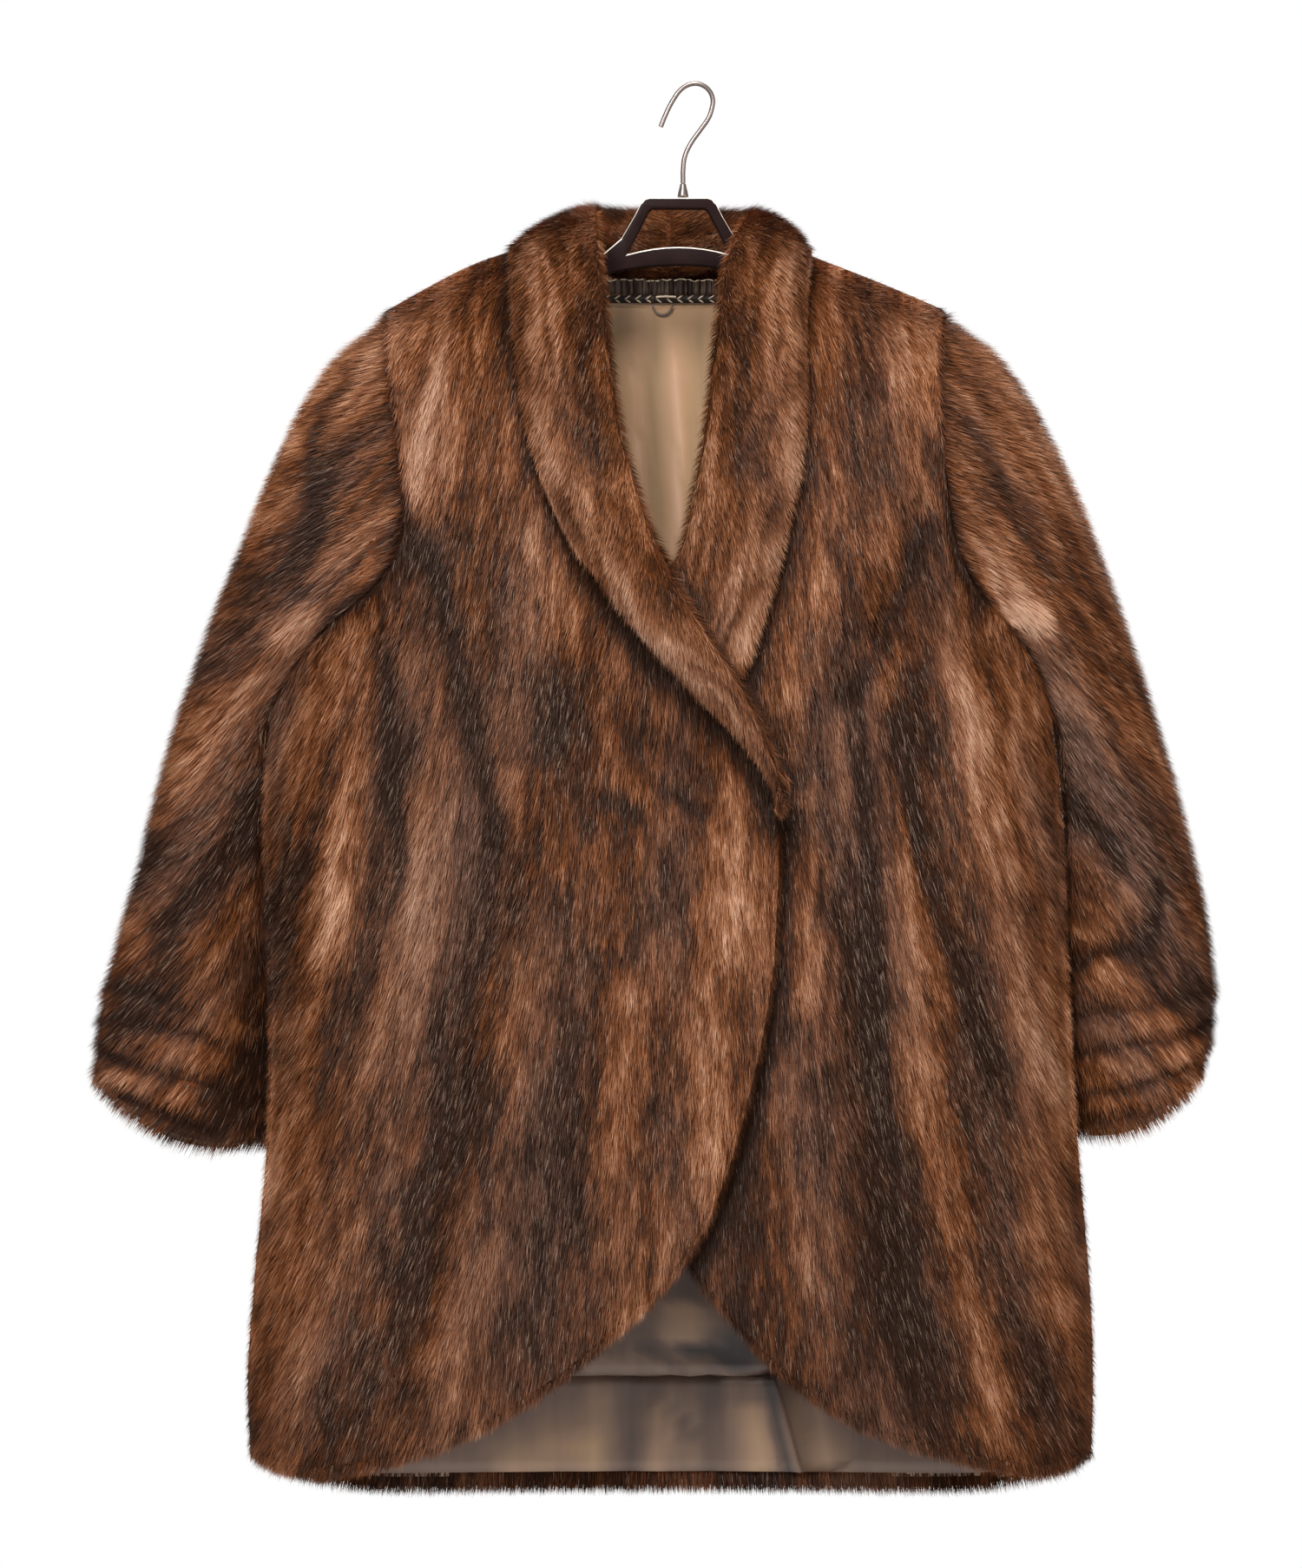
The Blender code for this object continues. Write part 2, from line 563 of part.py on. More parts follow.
def wall(name, outer, inner, material, ring=False):
    """A closed wall between two grids of points. With ring, the rows close on themselves."""
    rows, columns = outer.shape[:2]
    points = np.concatenate([outer.reshape(-1, 3), inner.reshape(-1, 3)])
    count = rows * columns
    faces = []
    for i in range(rows - 1):
        for j in range(columns if ring else columns - 1):
            k = (j + 1) % columns
            quad = (i * columns + j, i * columns + k, (i + 1) * columns + k, (i + 1) * columns + j)
            faces += split(points, *quad)
            faces += split(points, *(corner + count for corner in reversed(quad)))
    top = list(range(columns))
    foot = [(rows - 1) * columns + j for j in reversed(range(columns))]
    if ring:
        borders = [top + top[:1], foot[-1:] + foot]
    else:
        right = [i * columns + columns - 1 for i in range(1, rows - 1)]
        left = [i * columns for i in range(rows - 2, -1, -1)]
        borders = [top + right + foot + left]
    for path in borders:
        for a, b in zip(path, path[1:]):
            # The rim's diagonal starts at the higher outer point, so that both sides of a seam match.
            if points[a, 2] > points[b, 2]:
                faces += [(b, a, b + count), (a, a + count, b + count)]
            else:
                faces += [(b, a, a + count), (b, a + count, b + count)]
    mesh = bpy.data.meshes.new(name)
    mesh.from_pydata(points.tolist(), [], faces)
    mesh.validate()
    add_object(name, mesh, material)
    face_outwards(mesh)
    mesh.shade_smooth()
    mesh.set_sharp_from_angle(angle=math.radians(50))


def face_outwards(mesh):
    """Turns all faces round if the closed mesh came out inside out."""
    mesh.calc_loop_triangles()
    volume = 0.0
    for triangle in mesh.loop_triangles:
        a, b, c = (mesh.vertices[i].co for i in triangle.vertices)
        volume += a.dot(b.cross(c))
    if volume < 0:
        mesh.flip_normals()
    mesh.update()


def armhole_heights(side, steps):
    shoulder = float(ridge(column(ARMHOLE, ARMHOLE_COLUMNS, side)[0]))
    armpit = ARMHOLE[-1][0]
    return shoulder + (armpit - shoulder) * np.array(steps)


def spread(x_from, x_to, z, count):
    """Places along a row, closer together where the body turns into its side."""
    middle, half = body_middle(z), body_half(z)
    start = np.arcsin(np.clip((x_from - middle) / half, -1, 1))
    end = np.arcsin(np.clip((x_to - middle) / half, -1, 1))
    return middle + half * np.sin(np.linspace(start, end, count))


def front_grid(side, edge_table):
    """Rows of a front from the shoulder to the hem, each from the armhole or side seam to the front edge."""
    sign = -1 if side == "right" else 1
    rows = []
    heights = armhole_heights(side, ARMHOLE_STEPS)
    fades = 1.0 - step_up(np.array(ARMHOLE_STEPS))
    for z_out, fade in zip(heights, fades):
        x_out = armhole_x(side, z_out)
        rise = ridge(NECK_X + sign * NECK_HALF) - ridge(x_out)
        x_in = edge_x(edge_table, z_out + fade * rise)
        x = spread(x_out, x_in, z_out, FRONT_COLUMNS)
        rows.append((x, z_out + fade * (ridge(x) - ridge(x_out))))
    for z_row in FRONT_ROWS + FRONT_HEM_ROWS:
        x = spread(body(side + "_side", z_row), edge_x(edge_table, z_row), z_row, FRONT_COLUMNS)
        low = step_up((FRONT_HEM_ROWS[0] - z_row) / (FRONT_HEM_ROWS[0] - FRONT_HEM_ROWS[-1]))
        share = np.abs(x - body_middle(z_row)) / body_half(z_row)
        rows.append((x, z_row + CORNER_RISE * low * share**CORNER_POWER))
    return np.array([row[0] for row in rows]), np.array([row[1] for row in rows])


def hem_rise(x, z):
    """How far a row of the back lifts towards its sides, so that the hem turns up into the side seams."""
    share = np.abs(x - body_middle(z)) / body_half(z)
    low = np.clip((BACK_ROWS[-3] - z) / (BACK_ROWS[-3] - BACK_HEM_MID), 0.0, 1.0)
    return low * (BACK_HEM_SIDE + CORNER_RISE - BACK_HEM_MID) * share**HEM_POWER


def back_top(x):
    """The back's upper edge: the shoulder ridge, and the scooped neckline between the collar's sides."""
    share = np.clip(np.abs(x - NECK_X) / NECK_HALF, 0.0, 1.0)
    return ridge(x) + (NECKLINE_Z - ridge(NECK_X)) * (1.0 - share**6) ** 1.5


def back_grid(steps, z_rows, columns, share=1.0):
    """Rows of the back: at shares of the armhole's height, then at heights below the armpit. A share under 1
    keeps the row's ends off the armholes and side seams."""
    rows = []
    right_heights, left_heights = (armhole_heights(side, steps) for side in ("right", "left"))
    fades = 1.0 - step_up(np.array(steps))
    for z_right, z_left, fade in zip(right_heights, left_heights, fades):
        right, left = float(armhole_x("right", z_right)), float(armhole_x("left", z_left))
        x = narrowed(spread(right, left, 0.5 * (z_right + z_left), columns), share)
        z_ends = np.interp(x, [right, left], [z_right, z_left])
        ridge_ends = np.interp(x, [right, left], [ridge(right), ridge(left)])
        rows.append((x, z_ends + fade * (back_top(x) - ridge_ends)))
    for z_row in z_rows:
        x = spread(body("right_side", z_row), body("left_side", z_row), z_row, columns)
        x = narrowed(x, share)
        rows.append((x, z_row + hem_rise(x, z_row)))
    return np.array([row[0] for row in rows]), np.array([row[1] for row in rows])


def narrowed(x, share):
    middle = 0.5 * (x[0] + x[-1])
    return middle + share * (x - middle)


def sheet_points(face, x, z, lift=0.0):
    sign = -1 if face == "front" else 1
    return np.stack([x, sign * (stand_off(face, x, z) + lift), z], axis=2)


def panel_wall(face, x, z, folds, lift=0.0):
    """Outer and inner points of a fur panel: the folds are raised and sunk in the outer points only."""
    sign = -1 if face == "front" else 1
    plain = sheet_points(face, x, z, lift)
    inwards = -sheet_normal(face, x, z)
    seam_fade = step_up((stand_off(face, x, z) - FOLD_START) / FOLD_START)
    relief = fold_relief(folds, x, z) * seam_fade
    outer, inner = plain + inwards * relief[:, :, None], plain + inwards * FUR_WALL
    inner[:, :, 1] = sign * np.maximum(sign * inner[:, :, 1], SEAM_GAP)
    return outer, inner


def close_seams(face, outer, inner, ends):
    """Lays the rims of a panel in the seam planes, half a seam gap off the middle. Towards the armpit the
    armhole's rim turns upright, because the sleeve and the body fold against each other there."""
    sign = -1 if face == "front" else 1
    half_gap = sign * SEAM_GAP / 2
    arm_rows = len(ARMHOLE_STEPS)
    middle = body_middle(outer[:, :, 2])
    for end in ends:
        for i, step in enumerate(ARMHOLE_STEPS[1:], start=1):
            upright = step_up((step - RIM_TURN) / (1.0 - RIM_TURN))
            inwards = unit(inner[i, end] - outer[i, end])
            outer[i, end, 1] = half_gap if step == 1.0 else outer[i, end, 1]
            lean = RIM_LEAN * np.sign(middle[i, end] - outer[i, end, 0])
            rim = unit((1.0 - upright) * inwards + upright * unit(np.array([lean, 0.0, 1.0])))
            inner[i, end] = outer[i, end] + FUR_WALL * rim
        for i in range(arm_rows, outer.shape[0]):
            inwards = np.sign(middle[i, end] - outer[i, end, 0])
            outer[i, end, 1] = half_gap
            inner[i, end] = outer[i, end] + [inwards * FUR_WALL, 0.0, 0.0]
    for j in range(outer.shape[1]):
        behind = abs(outer[0, j, 1])
        outer[0, j, 1] = max(behind, SEAM_GAP / 2) * sign
        level = min(behind / NECK_TURN, 1.0)
        inner[0, j] = outer[0, j] - FUR_WALL * np.array([0.0, sign * level, math.sqrt(1.0 - level**2)])
    return outer, inner


def armhole_rim(outer, inner, end):
    """The outer and inner points of a panel along its armhole, from the shoulder point to the armpit."""
    rows = len(ARMHOLE_STEPS)
    return outer[:rows, end].copy(), inner[:rows, end].copy()


def build_front(side, edge_table, folds, material):
    x, z = front_grid(side, edge_table)
    lift = front_lift(x, z) if side == "right" else 0.0
    outer, inner = panel_wall("front", x, z, folds, lift)
    outer, inner = close_seams("front", outer, inner, (0,))
    wall("front_" + side, outer, inner, material)
    return armhole_rim(outer, inner, 0)


def build_back(material):
    x, z = back_grid(ARMHOLE_STEPS, BACK_ROWS + (BACK_HEM_MID,), BACK_COLUMNS)
    outer, inner = panel_wall("back", x, z, BACK_FOLDS)
    outer, inner = close_seams("back", outer, inner, (0, -1))
    wall("back", outer, inner, material)
    return armhole_rim(outer, inner, 0), armhole_rim(outer, inner, -1)


def sleeve_rows(table, cuff):
    """The sleeve's rings: those of its table, then the cuff's, with a groove and a crest for each tuck."""
    names = SLEEVE_COLUMNS
    rows = [dict(zip(names, row), tuck=0.0) for row in table]
    cuff_at = np.arange(len(cuff))
    count = 2 * TUCKS + 1
    for k, at in enumerate(np.linspace(0, len(cuff) - 1, count)):
        row = {name: float(smooth(cuff_at, column(cuff, names, name), at)) for name in names}
        row["tuck"] = TUCK_CREST if k % 2 else -TUCK_GROOVE
        rows.append(row)
    rows[-1]["tuck"] = -CUFF_TURN
    return rows


def seam_offsets(rim, down):
    """How far the sleeve's first ring stands off the armhole: a seam gap, eased open towards the armpit."""
    rows = len(ARMHOLE_STEPS)
    run = np.gradient(rim[:rows, [0, 2]], axis=0)
    square = np.stack([run[:, 1], np.zeros(rows), -run[:, 0]], axis=1)
    square = square / np.linalg.norm(square, axis=1, keepdims=True)
    square = square * np.sign(square @ down)[:, None]
    gap = SEAM_GAP + ARMPIT_EASE * step_up((np.array(ARMHOLE_STEPS) - RIM_TURN) / (1.0 - RIM_TURN))
    half = square * gap[:, None]
    return np.concatenate([half, half[-2:0:-1]])


def build_sleeve(side, front_rim, back_rim, table, cuff, folds, material):
    """A ring wall from the armhole to the cuff: its first rings turn from the armhole's form into ovals."""
    outer_rim = np.concatenate([front_rim[0], back_rim[0][-2:0:-1]])
    inner_rim = np.concatenate([front_rim[1], back_rim[1][-2:0:-1]])
    sign = -1 if side == "right" else 1
    shoulder, armpit = outer_rim[0], outer_rim[len(ARMHOLE_STEPS) - 1]
    reach = 0.5 * np.linalg.norm((shoulder - armpit)[[0, 2]])
    axis = (shoulder - armpit) * [1.0, 0.0, 1.0] / (2 * reach)
    down = sign * np.array([axis[2], 0.0, -axis[0]])
    from_middle = outer_rim - 0.5 * (shoulder + armpit)
    first_along, first_across = from_middle @ axis / reach, from_middle @ down
    first_depth = outer_rim[:, 1] / np.abs(outer_rim[:, 1]).max()
    turn = 2 * math.pi * np.arange(len(outer_rim)) / len(outer_rim)
    away = seam_offsets(outer_rim, down)
    rings, swell = [outer_rim + away], [0.0]
    for k, row in enumerate(sleeve_rows(table, cuff), start=1):
        out_point = np.array([row["x_out"], 0.0, row["z_out"]])
        in_point = np.array([row["x_in"], 0.0, row["z_in"]])
        half = 0.5 * np.linalg.norm(out_point - in_point)
        along_axis = (out_point - in_point) / (2 * half)
        across = sign * np.array([along_axis[2], 0.0, -along_axis[0]])
        morph = float(step_up(k / RING_MORPH))
        along = (1 - morph) * first_along + morph * np.cos(turn)
        deep = (1 - morph) * first_depth - morph * np.sin(turn)
        lean = (1 - morph) * first_across + row["bow"] * (1 - along**2)
        ring = 0.5 * (out_point + in_point) + np.outer(along * half, along_axis) + np.outer(lean, across)
        ring[:, 1] = row["y_mid"] + deep * row["half_depth"]
        rings.append(ring)
        swell.append(row["tuck"])
    plain = np.array(rings)
    inwards = -ring_normals(plain)
    inner = plain + inwards * FUR_WALL
    inner[0] = inner_rim + away
    for i, share in enumerate(RIM_BLEND, start=1):
        blended = share * (inner[0] - plain[0]) + (1 - share) * (inner[i] - plain[i])
        inner[i] = plain[i] + FUR_WALL * blended / np.linalg.norm(blended, axis=1, keepdims=True)
    relief = fold_relief(folds, plain[:, :, 0], plain[:, :, 2]) * np.clip(inwards[:, :, 1], 0.0, 1.0)
    relief[0] = 0.0
    outer = plain + inwards * (relief - np.array(swell)[:, None])[:, :, None]
    wall("sleeve_" + side, outer, inner, material, ring=True)


def unit(vector):
    return vector / np.linalg.norm(vector)


def collar_on_front(side, row, names):
    """Points of one section of the collar, raised off the front's own surface by the section's profile."""
    place = dict(zip(COLLAR_COLUMNS, row))
    across = column(LYING_ROLL, ROLL_SECTION_COLUMNS, names[0])
    rise = LAY_GAP + place["height"] * column(LYING_ROLL, ROLL_SECTION_COLUMNS, names[1])
    x = place["x_roll"] + across * (place["x_edge"] - place["x_roll"])
    z = place["z_roll"] + across * (place["z_edge"] - place["z_roll"])
    lift = front_lift(x, z) if side == "right" else 0.0
    surface = np.stack([x, -(stand_off("front", x, z) + lift), z], axis=-1)
    return surface + sheet_normal("front", x, z) * rise[:, None]


def collar_at_neck(row, names):
    """Points of one section beside or behind the neck, between the lying and the folded, standing form."""
    place = dict(zip(NECK_STATION_COLUMNS, row))
    foot = np.array([place["x"], place["y"], place["z"]])
    edge = np.array([place["x_edge"], place["y_edge"], place["z_edge"]])
    up = unit(np.array([place["up_x"], place["up_y"], place["up_z"]]))
    width = np.linalg.norm(edge - foot)
    across = unit(edge - foot)
    flat_up = unit(up - across * (up @ across))
    level = unit(across - up * (across @ up))
    lying_across, lying_up = (column(LYING_ROLL, ROLL_SECTION_COLUMNS, name) for name in names)
    folded_across, folded_up = (column(FOLDED_ROLL, ROLL_SECTION_COLUMNS, name) for name in names)
    height = place["height"] * NECK_COLLAR_HEIGHT
    lie = foot + np.outer(lying_across * width, across) + np.outer(lying_up * height, flat_up)
    stand = foot + np.outer(folded_across, level) + np.outer(folded_up, up)
    return (1 - place["folded"]) * lie + place["folded"] * stand


def refine(grid, times):
    """Stations between the given ones, on a smooth curve through them."""
    at = np.arange(len(grid), dtype=float)
    new_at = np.linspace(0, len(grid) - 1, (len(grid) - 1) * times + 1)
    flat = grid.reshape(len(grid), -1)
    fine = np.stack([smooth(at, flat[:, c], new_at) for c in range(flat.shape[1])], axis=1)
    return fine.reshape(len(new_at), *grid.shape[1:])


def build_collar(side, neck_rows, front_rows, material):
    faces = []
    for names in (("across", "up"), ("under_across", "under_up")):
        sections = [collar_at_neck(row, names) for row in neck_rows]
        sections += [collar_on_front(side, row, names) for row in front_rows]
        faces.append(refine(np.array(sections), COLLAR_REFINE))
    wall("collar_" + side, faces[0], faces[1], material)


def build_lining(material):
    """The back's lining, from under the neck trims to the seam of its hem band."""
    x, z = back_grid(LINING_STEPS, LINING_ROWS, LINING_COLUMNS, LINING_SHARE)
    z = np.minimum(z, LINING_TOP - LINING_TOP_STEP * np.arange(len(z))[:, None])
    rear = inside_back(x, z, LINING_DEPTH)
    face = inside_back(x, z, LINING_DEPTH + LINING_WALL)
    wall("back_lining", face, rear, material)


def build_band(material):
    """The band along the lining's hem, with one pleat laid in it: three columns of points follow the fold."""
    x, z = back_grid((1.0,), BAND_ROWS, BAND_COLUMNS, LINING_SHARE)
    depth = np.full(x[1:].shape, LINING_DEPTH)
    share = np.linspace(0.0, 1.0, len(BAND_ROWS))
    line = PLEAT["x_top"] + (PLEAT["x_end"] - PLEAT["x_top"]) * share
    fold = [(-PLEAT["width"], 0.0), (0.0, PLEAT["depth"]), (PLEAT["width"] / 4, 0.0)]
    places = line[:, None] + np.array([offset for offset, _ in fold])
    crossed = np.interp(line, x[-1], np.arange(BAND_COLUMNS))
    first = int(crossed.mean())
    x, z = x[1:], z[1:]
    x[:, first : first + 3] = places
    depth[:, first : first + 3] += np.array([rise for _, rise in fold])
    wall("hem_band", inside_back(x, z, depth + LINING_WALL), inside_back(x, z, depth), material)


def build_ruffle(material):
    count = 4 * RUFFLE_PLEATS + 1
    x = np.linspace(TRIM_START, TRIM_END, count)
    phase = 2 * math.pi * RUFFLE_PLEATS * (x - TRIM_START) / (TRIM_END - TRIM_START)
    depth = LINING_DEPTH + RUFFLE_DEPTH * (1.2 + np.sin(phase + math.pi / 4))
    rear = np.array([inside_back(x, z, depth) for z in (RUFFLE_TOP, RUFFLE_FOOT)])
    wall("neck_ruffle", rear - [0.0, RIBBON_WALL, 0.0], rear, material)


def build_braid(material):
    count = 2 * BRAID_PLAITS + 1
    x = np.linspace(TRIM_START, TRIM_END, count)
    odd = np.arange(count) % 2
    rear, face = [], []
    for z, thick, plait in ((BRAID_TOP, 0.45, odd), (BRAID_MID, 1.0, 1 - odd), (BRAID_FOOT, 0.45, odd)):
        rear.append(inside_back(x, z, LINING_DEPTH))
        face.append(inside_back(x, z, LINING_DEPTH + BRAID_THICK * thick * (0.6 + 0.4 * plait)))
    wall("neck_braid", np.array(face), np.array(rear), material)


def tube(name, points, radius, material):
    curve = bpy.data.curves.new(name, "CURVE")
    curve.dimensions = "3D"
    curve.bevel_depth = radius
    curve.bevel_resolution = TUBE_RESOLUTION
    curve.use_fill_caps = True
    spline = curve.splines.new("POLY")
    spline.points.add(len(points) - 1)
    for point, place in zip(spline.points, points):
        point.co = (*place, 1.0)
    return add_object(name, curve, material)


def build_loop(material):
    """The small hanging loop: a cord sewn on below the braid, drooping in front of the lining."""
    turn = np.linspace(0.0, math.pi, LOOP_POINTS)
    x = LOOP_X - LOOP_HALF * np.cos(turn)
    z = LOOP_TOP - LOOP_DROP * np.sin(turn)
    points = inside_back(x, z, LINING_DEPTH + LAY_GAP + LINING_WALL + LOOP_RADIUS)
    tube("hang_loop", points, LOOP_RADIUS, material)


def mirrored(points):
    return [(2 * HANGER_MID - x, z) for x, z in reversed(points)]


def arm_edge(start, end, drop, count):
    """Points along an arm that follows the shoulder ridge at a drop below it."""
    return [(float(x), float(ridge(x)) - drop) for x in np.linspace(start, end, count)]


def arched(start, end, rise, count):
    """Points from one end of an arch to the other."""
    share = np.linspace(0.0, 1.0, count)
    x = start[0] + (end[0] - start[0]) * share
    z = start[1] + (end[1] - start[1]) * share + 4 * rise * share * (1 - share)
    return list(zip(x.tolist(), z.tolist()))


def hanger_outline():
    """The hanger's outline, clockwise from its right end, and that of the window over its lower bar."""
    top = list(HANGER_SIDE) + mirrored(HANGER_SIDE)
    outer = arm_edge(ARM_RIGHT_END, ARM_RIGHT_START, ARM_DROP, 6) + top
    outer += arm_edge(ARM_LEFT_START, ARM_LEFT_END, ARM_DROP, 6)
    outer += arm_edge(ARM_LEFT_END, ARM_LEFT_START, ARM_DROP + ARM_HEIGHT, 6)
    bar_foot = (BAR_END[0], BAR_END[1] - BAR_DEPTH)
    outer += arched(*mirrored([bar_foot]), bar_foot, BAR_RISE, 9)
    outer += arm_edge(ARM_RIGHT_START, ARM_RIGHT_END, ARM_DROP + ARM_HEIGHT, 6)
    window = arched(SILL_END, *mirrored([SILL_END]), SILL_RISE, 9)
    window += mirrored(WINDOW_SIDE[::-1]) + list(WINDOW_SIDE[::-1])
    return outer, window


def build_hanger(material):
    curve = bpy.data.curves.new("hanger", "CURVE")
    curve.dimensions = "2D"
    curve.fill_mode = "BOTH"
    curve.extrude = HANGER_THICK / 2
    for outline in hanger_outline():
        spline = curve.splines.new("POLY")
        spline.points.add(len(outline) - 1)
        for point, (x, z) in zip(spline.points, outline):
            point.co = (x, z, 0.0, 1.0)
        spline.use_cyclic_u = True
    obj = add_object("hanger", curve, material)
    obj.rotation_euler = (math.pi / 2, 0.0, 0.0)


def hook_points():
    """The hook's wire: up from the ferrule, a sweep to the side and over the top, ending in a short tip."""
    points = [(x, 0.0, z) for x, z in HOOK_STEM]
    middle_z = WIRE_RADIUS - HOOK_RADIUS
    for degrees in range(*HOOK_TURN):
        angle = math.radians(degrees)
        widen = HOOK_OPEN_WIDTH if degrees >= 90 else 1.0
        droop = HOOK_OPEN_DROOP if degrees >= 180 else 1.0
        x = HOOK_MIDDLE_X + HOOK_RADIUS * widen * math.cos(angle)
        points.append((x, 0.0, middle_z + HOOK_RADIUS * droop * math.sin(angle)))
    points.append((HOOK_TIP[0], 0.0, HOOK_TIP[1]))
    return points


def build_ferrule(material):
    foot = HANGER_TOP + SEAM_GAP
    outline = (
        (0.0, FERRULE_TOP),
        (FERRULE_RADIUS_TOP, FERRULE_TOP),
        (FERRULE_RADIUS_NECK, FERRULE_TOP - FERRULE_NECK),
        (FERRULE_RADIUS_FOOT, foot + FERRULE_SHOE),
        (FERRULE_RADIUS_FOOT, foot),
        (0.0, foot),
    )
    profile = bpy.data.meshes.new("hook_ferrule")
    edges = [(k, k + 1) for k in range(len(outline) - 1)]
    profile.from_pydata([(x, 0.0, z) for x, z in outline], edges, [])
    obj = add_object("hook_ferrule", profile, material)
    obj.location = (FERRULE_X, 0.0, 0.0)
    turn = obj.modifiers.new("turned", "SCREW")
    turn.steps = turn.render_steps = FERRULE_SIDES
    turn.use_merge_vertices = True
    turn.merge_threshold = 0.00001


def clear_scene():
    for obj in list(bpy.data.objects):
        bpy.data.objects.remove(obj)
    collection = bpy.data.collections.new(COLLECTION)
    bpy.context.scene.collection.children.link(collection)


def main():
    clear_scene()
    fur = new_material("brown fur", (0.16, 0.065, 0.028), 0.75)
    satin = new_material("taupe satin", (0.33, 0.24, 0.17), 0.45)
    ribbon = new_material("brown ribbon", (0.06, 0.04, 0.03), 0.5)
    cord = new_material("beige cord", (0.40, 0.30, 0.20), 0.6)
    plastic = new_material("black plastic", (0.02, 0.012, 0.012), 0.2)
    steel = new_material("steel", (0.62, 0.60, 0.57), 0.25, 1.0)

    right_rim = build_front("right", RIGHT_EDGE, RIGHT_FOLDS, fur)
    left_rim = build_front("left", LEFT_EDGE, LEFT_FOLDS, fur)
    back_right_rim, back_left_rim = build_back(fur)
    build_sleeve("right", right_rim, back_right_rim, RIGHT_SLEEVE, RIGHT_CUFF, RIGHT_SLEEVE_FOLDS, fur)
    build_sleeve("left", left_rim, back_left_rim, LEFT_SLEEVE, LEFT_CUFF, LEFT_SLEEVE_FOLDS, fur)
    build_collar("right", RIGHT_NECK, RIGHT_COLLAR, fur)
    build_collar("left", LEFT_NECK, LEFT_COLLAR, fur)
    build_lining(satin)
    build_band(satin)
    build_ruffle(ribbon)
    build_braid(ribbon)
    build_loop(cord)
    build_hanger(plastic)
    tube("hanger_hook", hook_points(), WIRE_RADIUS, steel)
    build_ferrule(steel)


main()
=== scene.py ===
# %% [markdown]
# # A fur coat on a plastic hanger
#
# The coat is sewn from dark brown pelts. It hangs closed, right front over left, and its satin lining shows
# in the neck and over the hem. The frame holds every panel at its true size. Here each panel gets its
# surface: a leather skin with standing pile, satin, ribbon, plastic and steel.

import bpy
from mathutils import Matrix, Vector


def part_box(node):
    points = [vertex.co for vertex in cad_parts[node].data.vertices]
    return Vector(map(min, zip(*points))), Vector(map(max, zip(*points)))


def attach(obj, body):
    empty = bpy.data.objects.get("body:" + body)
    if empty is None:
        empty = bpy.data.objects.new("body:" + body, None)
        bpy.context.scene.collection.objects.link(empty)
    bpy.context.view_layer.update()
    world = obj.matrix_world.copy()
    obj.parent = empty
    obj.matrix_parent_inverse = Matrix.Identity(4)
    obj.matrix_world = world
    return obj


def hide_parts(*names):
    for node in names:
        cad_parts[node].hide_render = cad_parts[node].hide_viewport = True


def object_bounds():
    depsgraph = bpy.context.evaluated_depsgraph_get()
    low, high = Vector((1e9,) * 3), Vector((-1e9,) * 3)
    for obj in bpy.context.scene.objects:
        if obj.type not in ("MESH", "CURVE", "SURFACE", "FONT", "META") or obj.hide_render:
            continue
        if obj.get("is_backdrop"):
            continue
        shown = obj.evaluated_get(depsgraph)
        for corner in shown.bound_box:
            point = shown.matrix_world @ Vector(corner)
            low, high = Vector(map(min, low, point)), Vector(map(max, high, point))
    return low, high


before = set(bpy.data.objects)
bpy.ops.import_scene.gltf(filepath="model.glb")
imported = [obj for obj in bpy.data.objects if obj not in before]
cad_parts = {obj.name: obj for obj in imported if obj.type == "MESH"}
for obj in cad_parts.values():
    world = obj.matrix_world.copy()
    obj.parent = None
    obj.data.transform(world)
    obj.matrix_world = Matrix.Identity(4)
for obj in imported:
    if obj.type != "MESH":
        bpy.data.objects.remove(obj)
cad_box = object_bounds()
print("nodes:", ", ".join(sorted(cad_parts)))

# %% What Blender and Python bring along
import math
from contextlib import contextmanager

import bmesh
import bpy
import numpy as np
from mathutils import Vector
from mathutils.bvhtree import BVHTree

# %% [markdown]
# ## The view
#
# The camera stands three metres in front of the coat, level with its middle. A long lens from far away
# shows a garment as a tailor's drawing does, with hardly any perspective. The focal length comes from the
# height that the picture has to take in at the hanger.

# %% Camera
VIEW_MIDDLE = Vector((-0.0325, 0.0, -0.5226))
VIEW_DISTANCE = 3.0
VIEW_HEIGHT = 1.1739
SENSOR = 36.0


def link(name, data):
    """A new object in the scene for some data."""
    obj = bpy.data.objects.new(name, data)
    bpy.context.scene.collection.objects.link(obj)
    return obj


camera = link("camera", bpy.data.cameras.new("camera"))
camera.data.sensor_width = SENSOR
camera.data.lens = SENSOR * VIEW_DISTANCE / VIEW_HEIGHT
camera.location = VIEW_MIDDLE - Vector((0.0, VIEW_DISTANCE, 0.0))
camera.rotation_euler = (math.radians(90), 0.0, 0.0)
bpy.context.scene.camera = camera
print(f"lens {camera.data.lens:.1f} mm")

# %% [markdown]
# ## A small language for nodes
#
# Every finish below is a node tree. `Wire` wraps an output socket, so that sums and products of wires read
# like plain arithmetic and add their Math nodes by themselves. `Graph` adds any other node from one method,
# in shader trees and in Geometry Nodes alike.


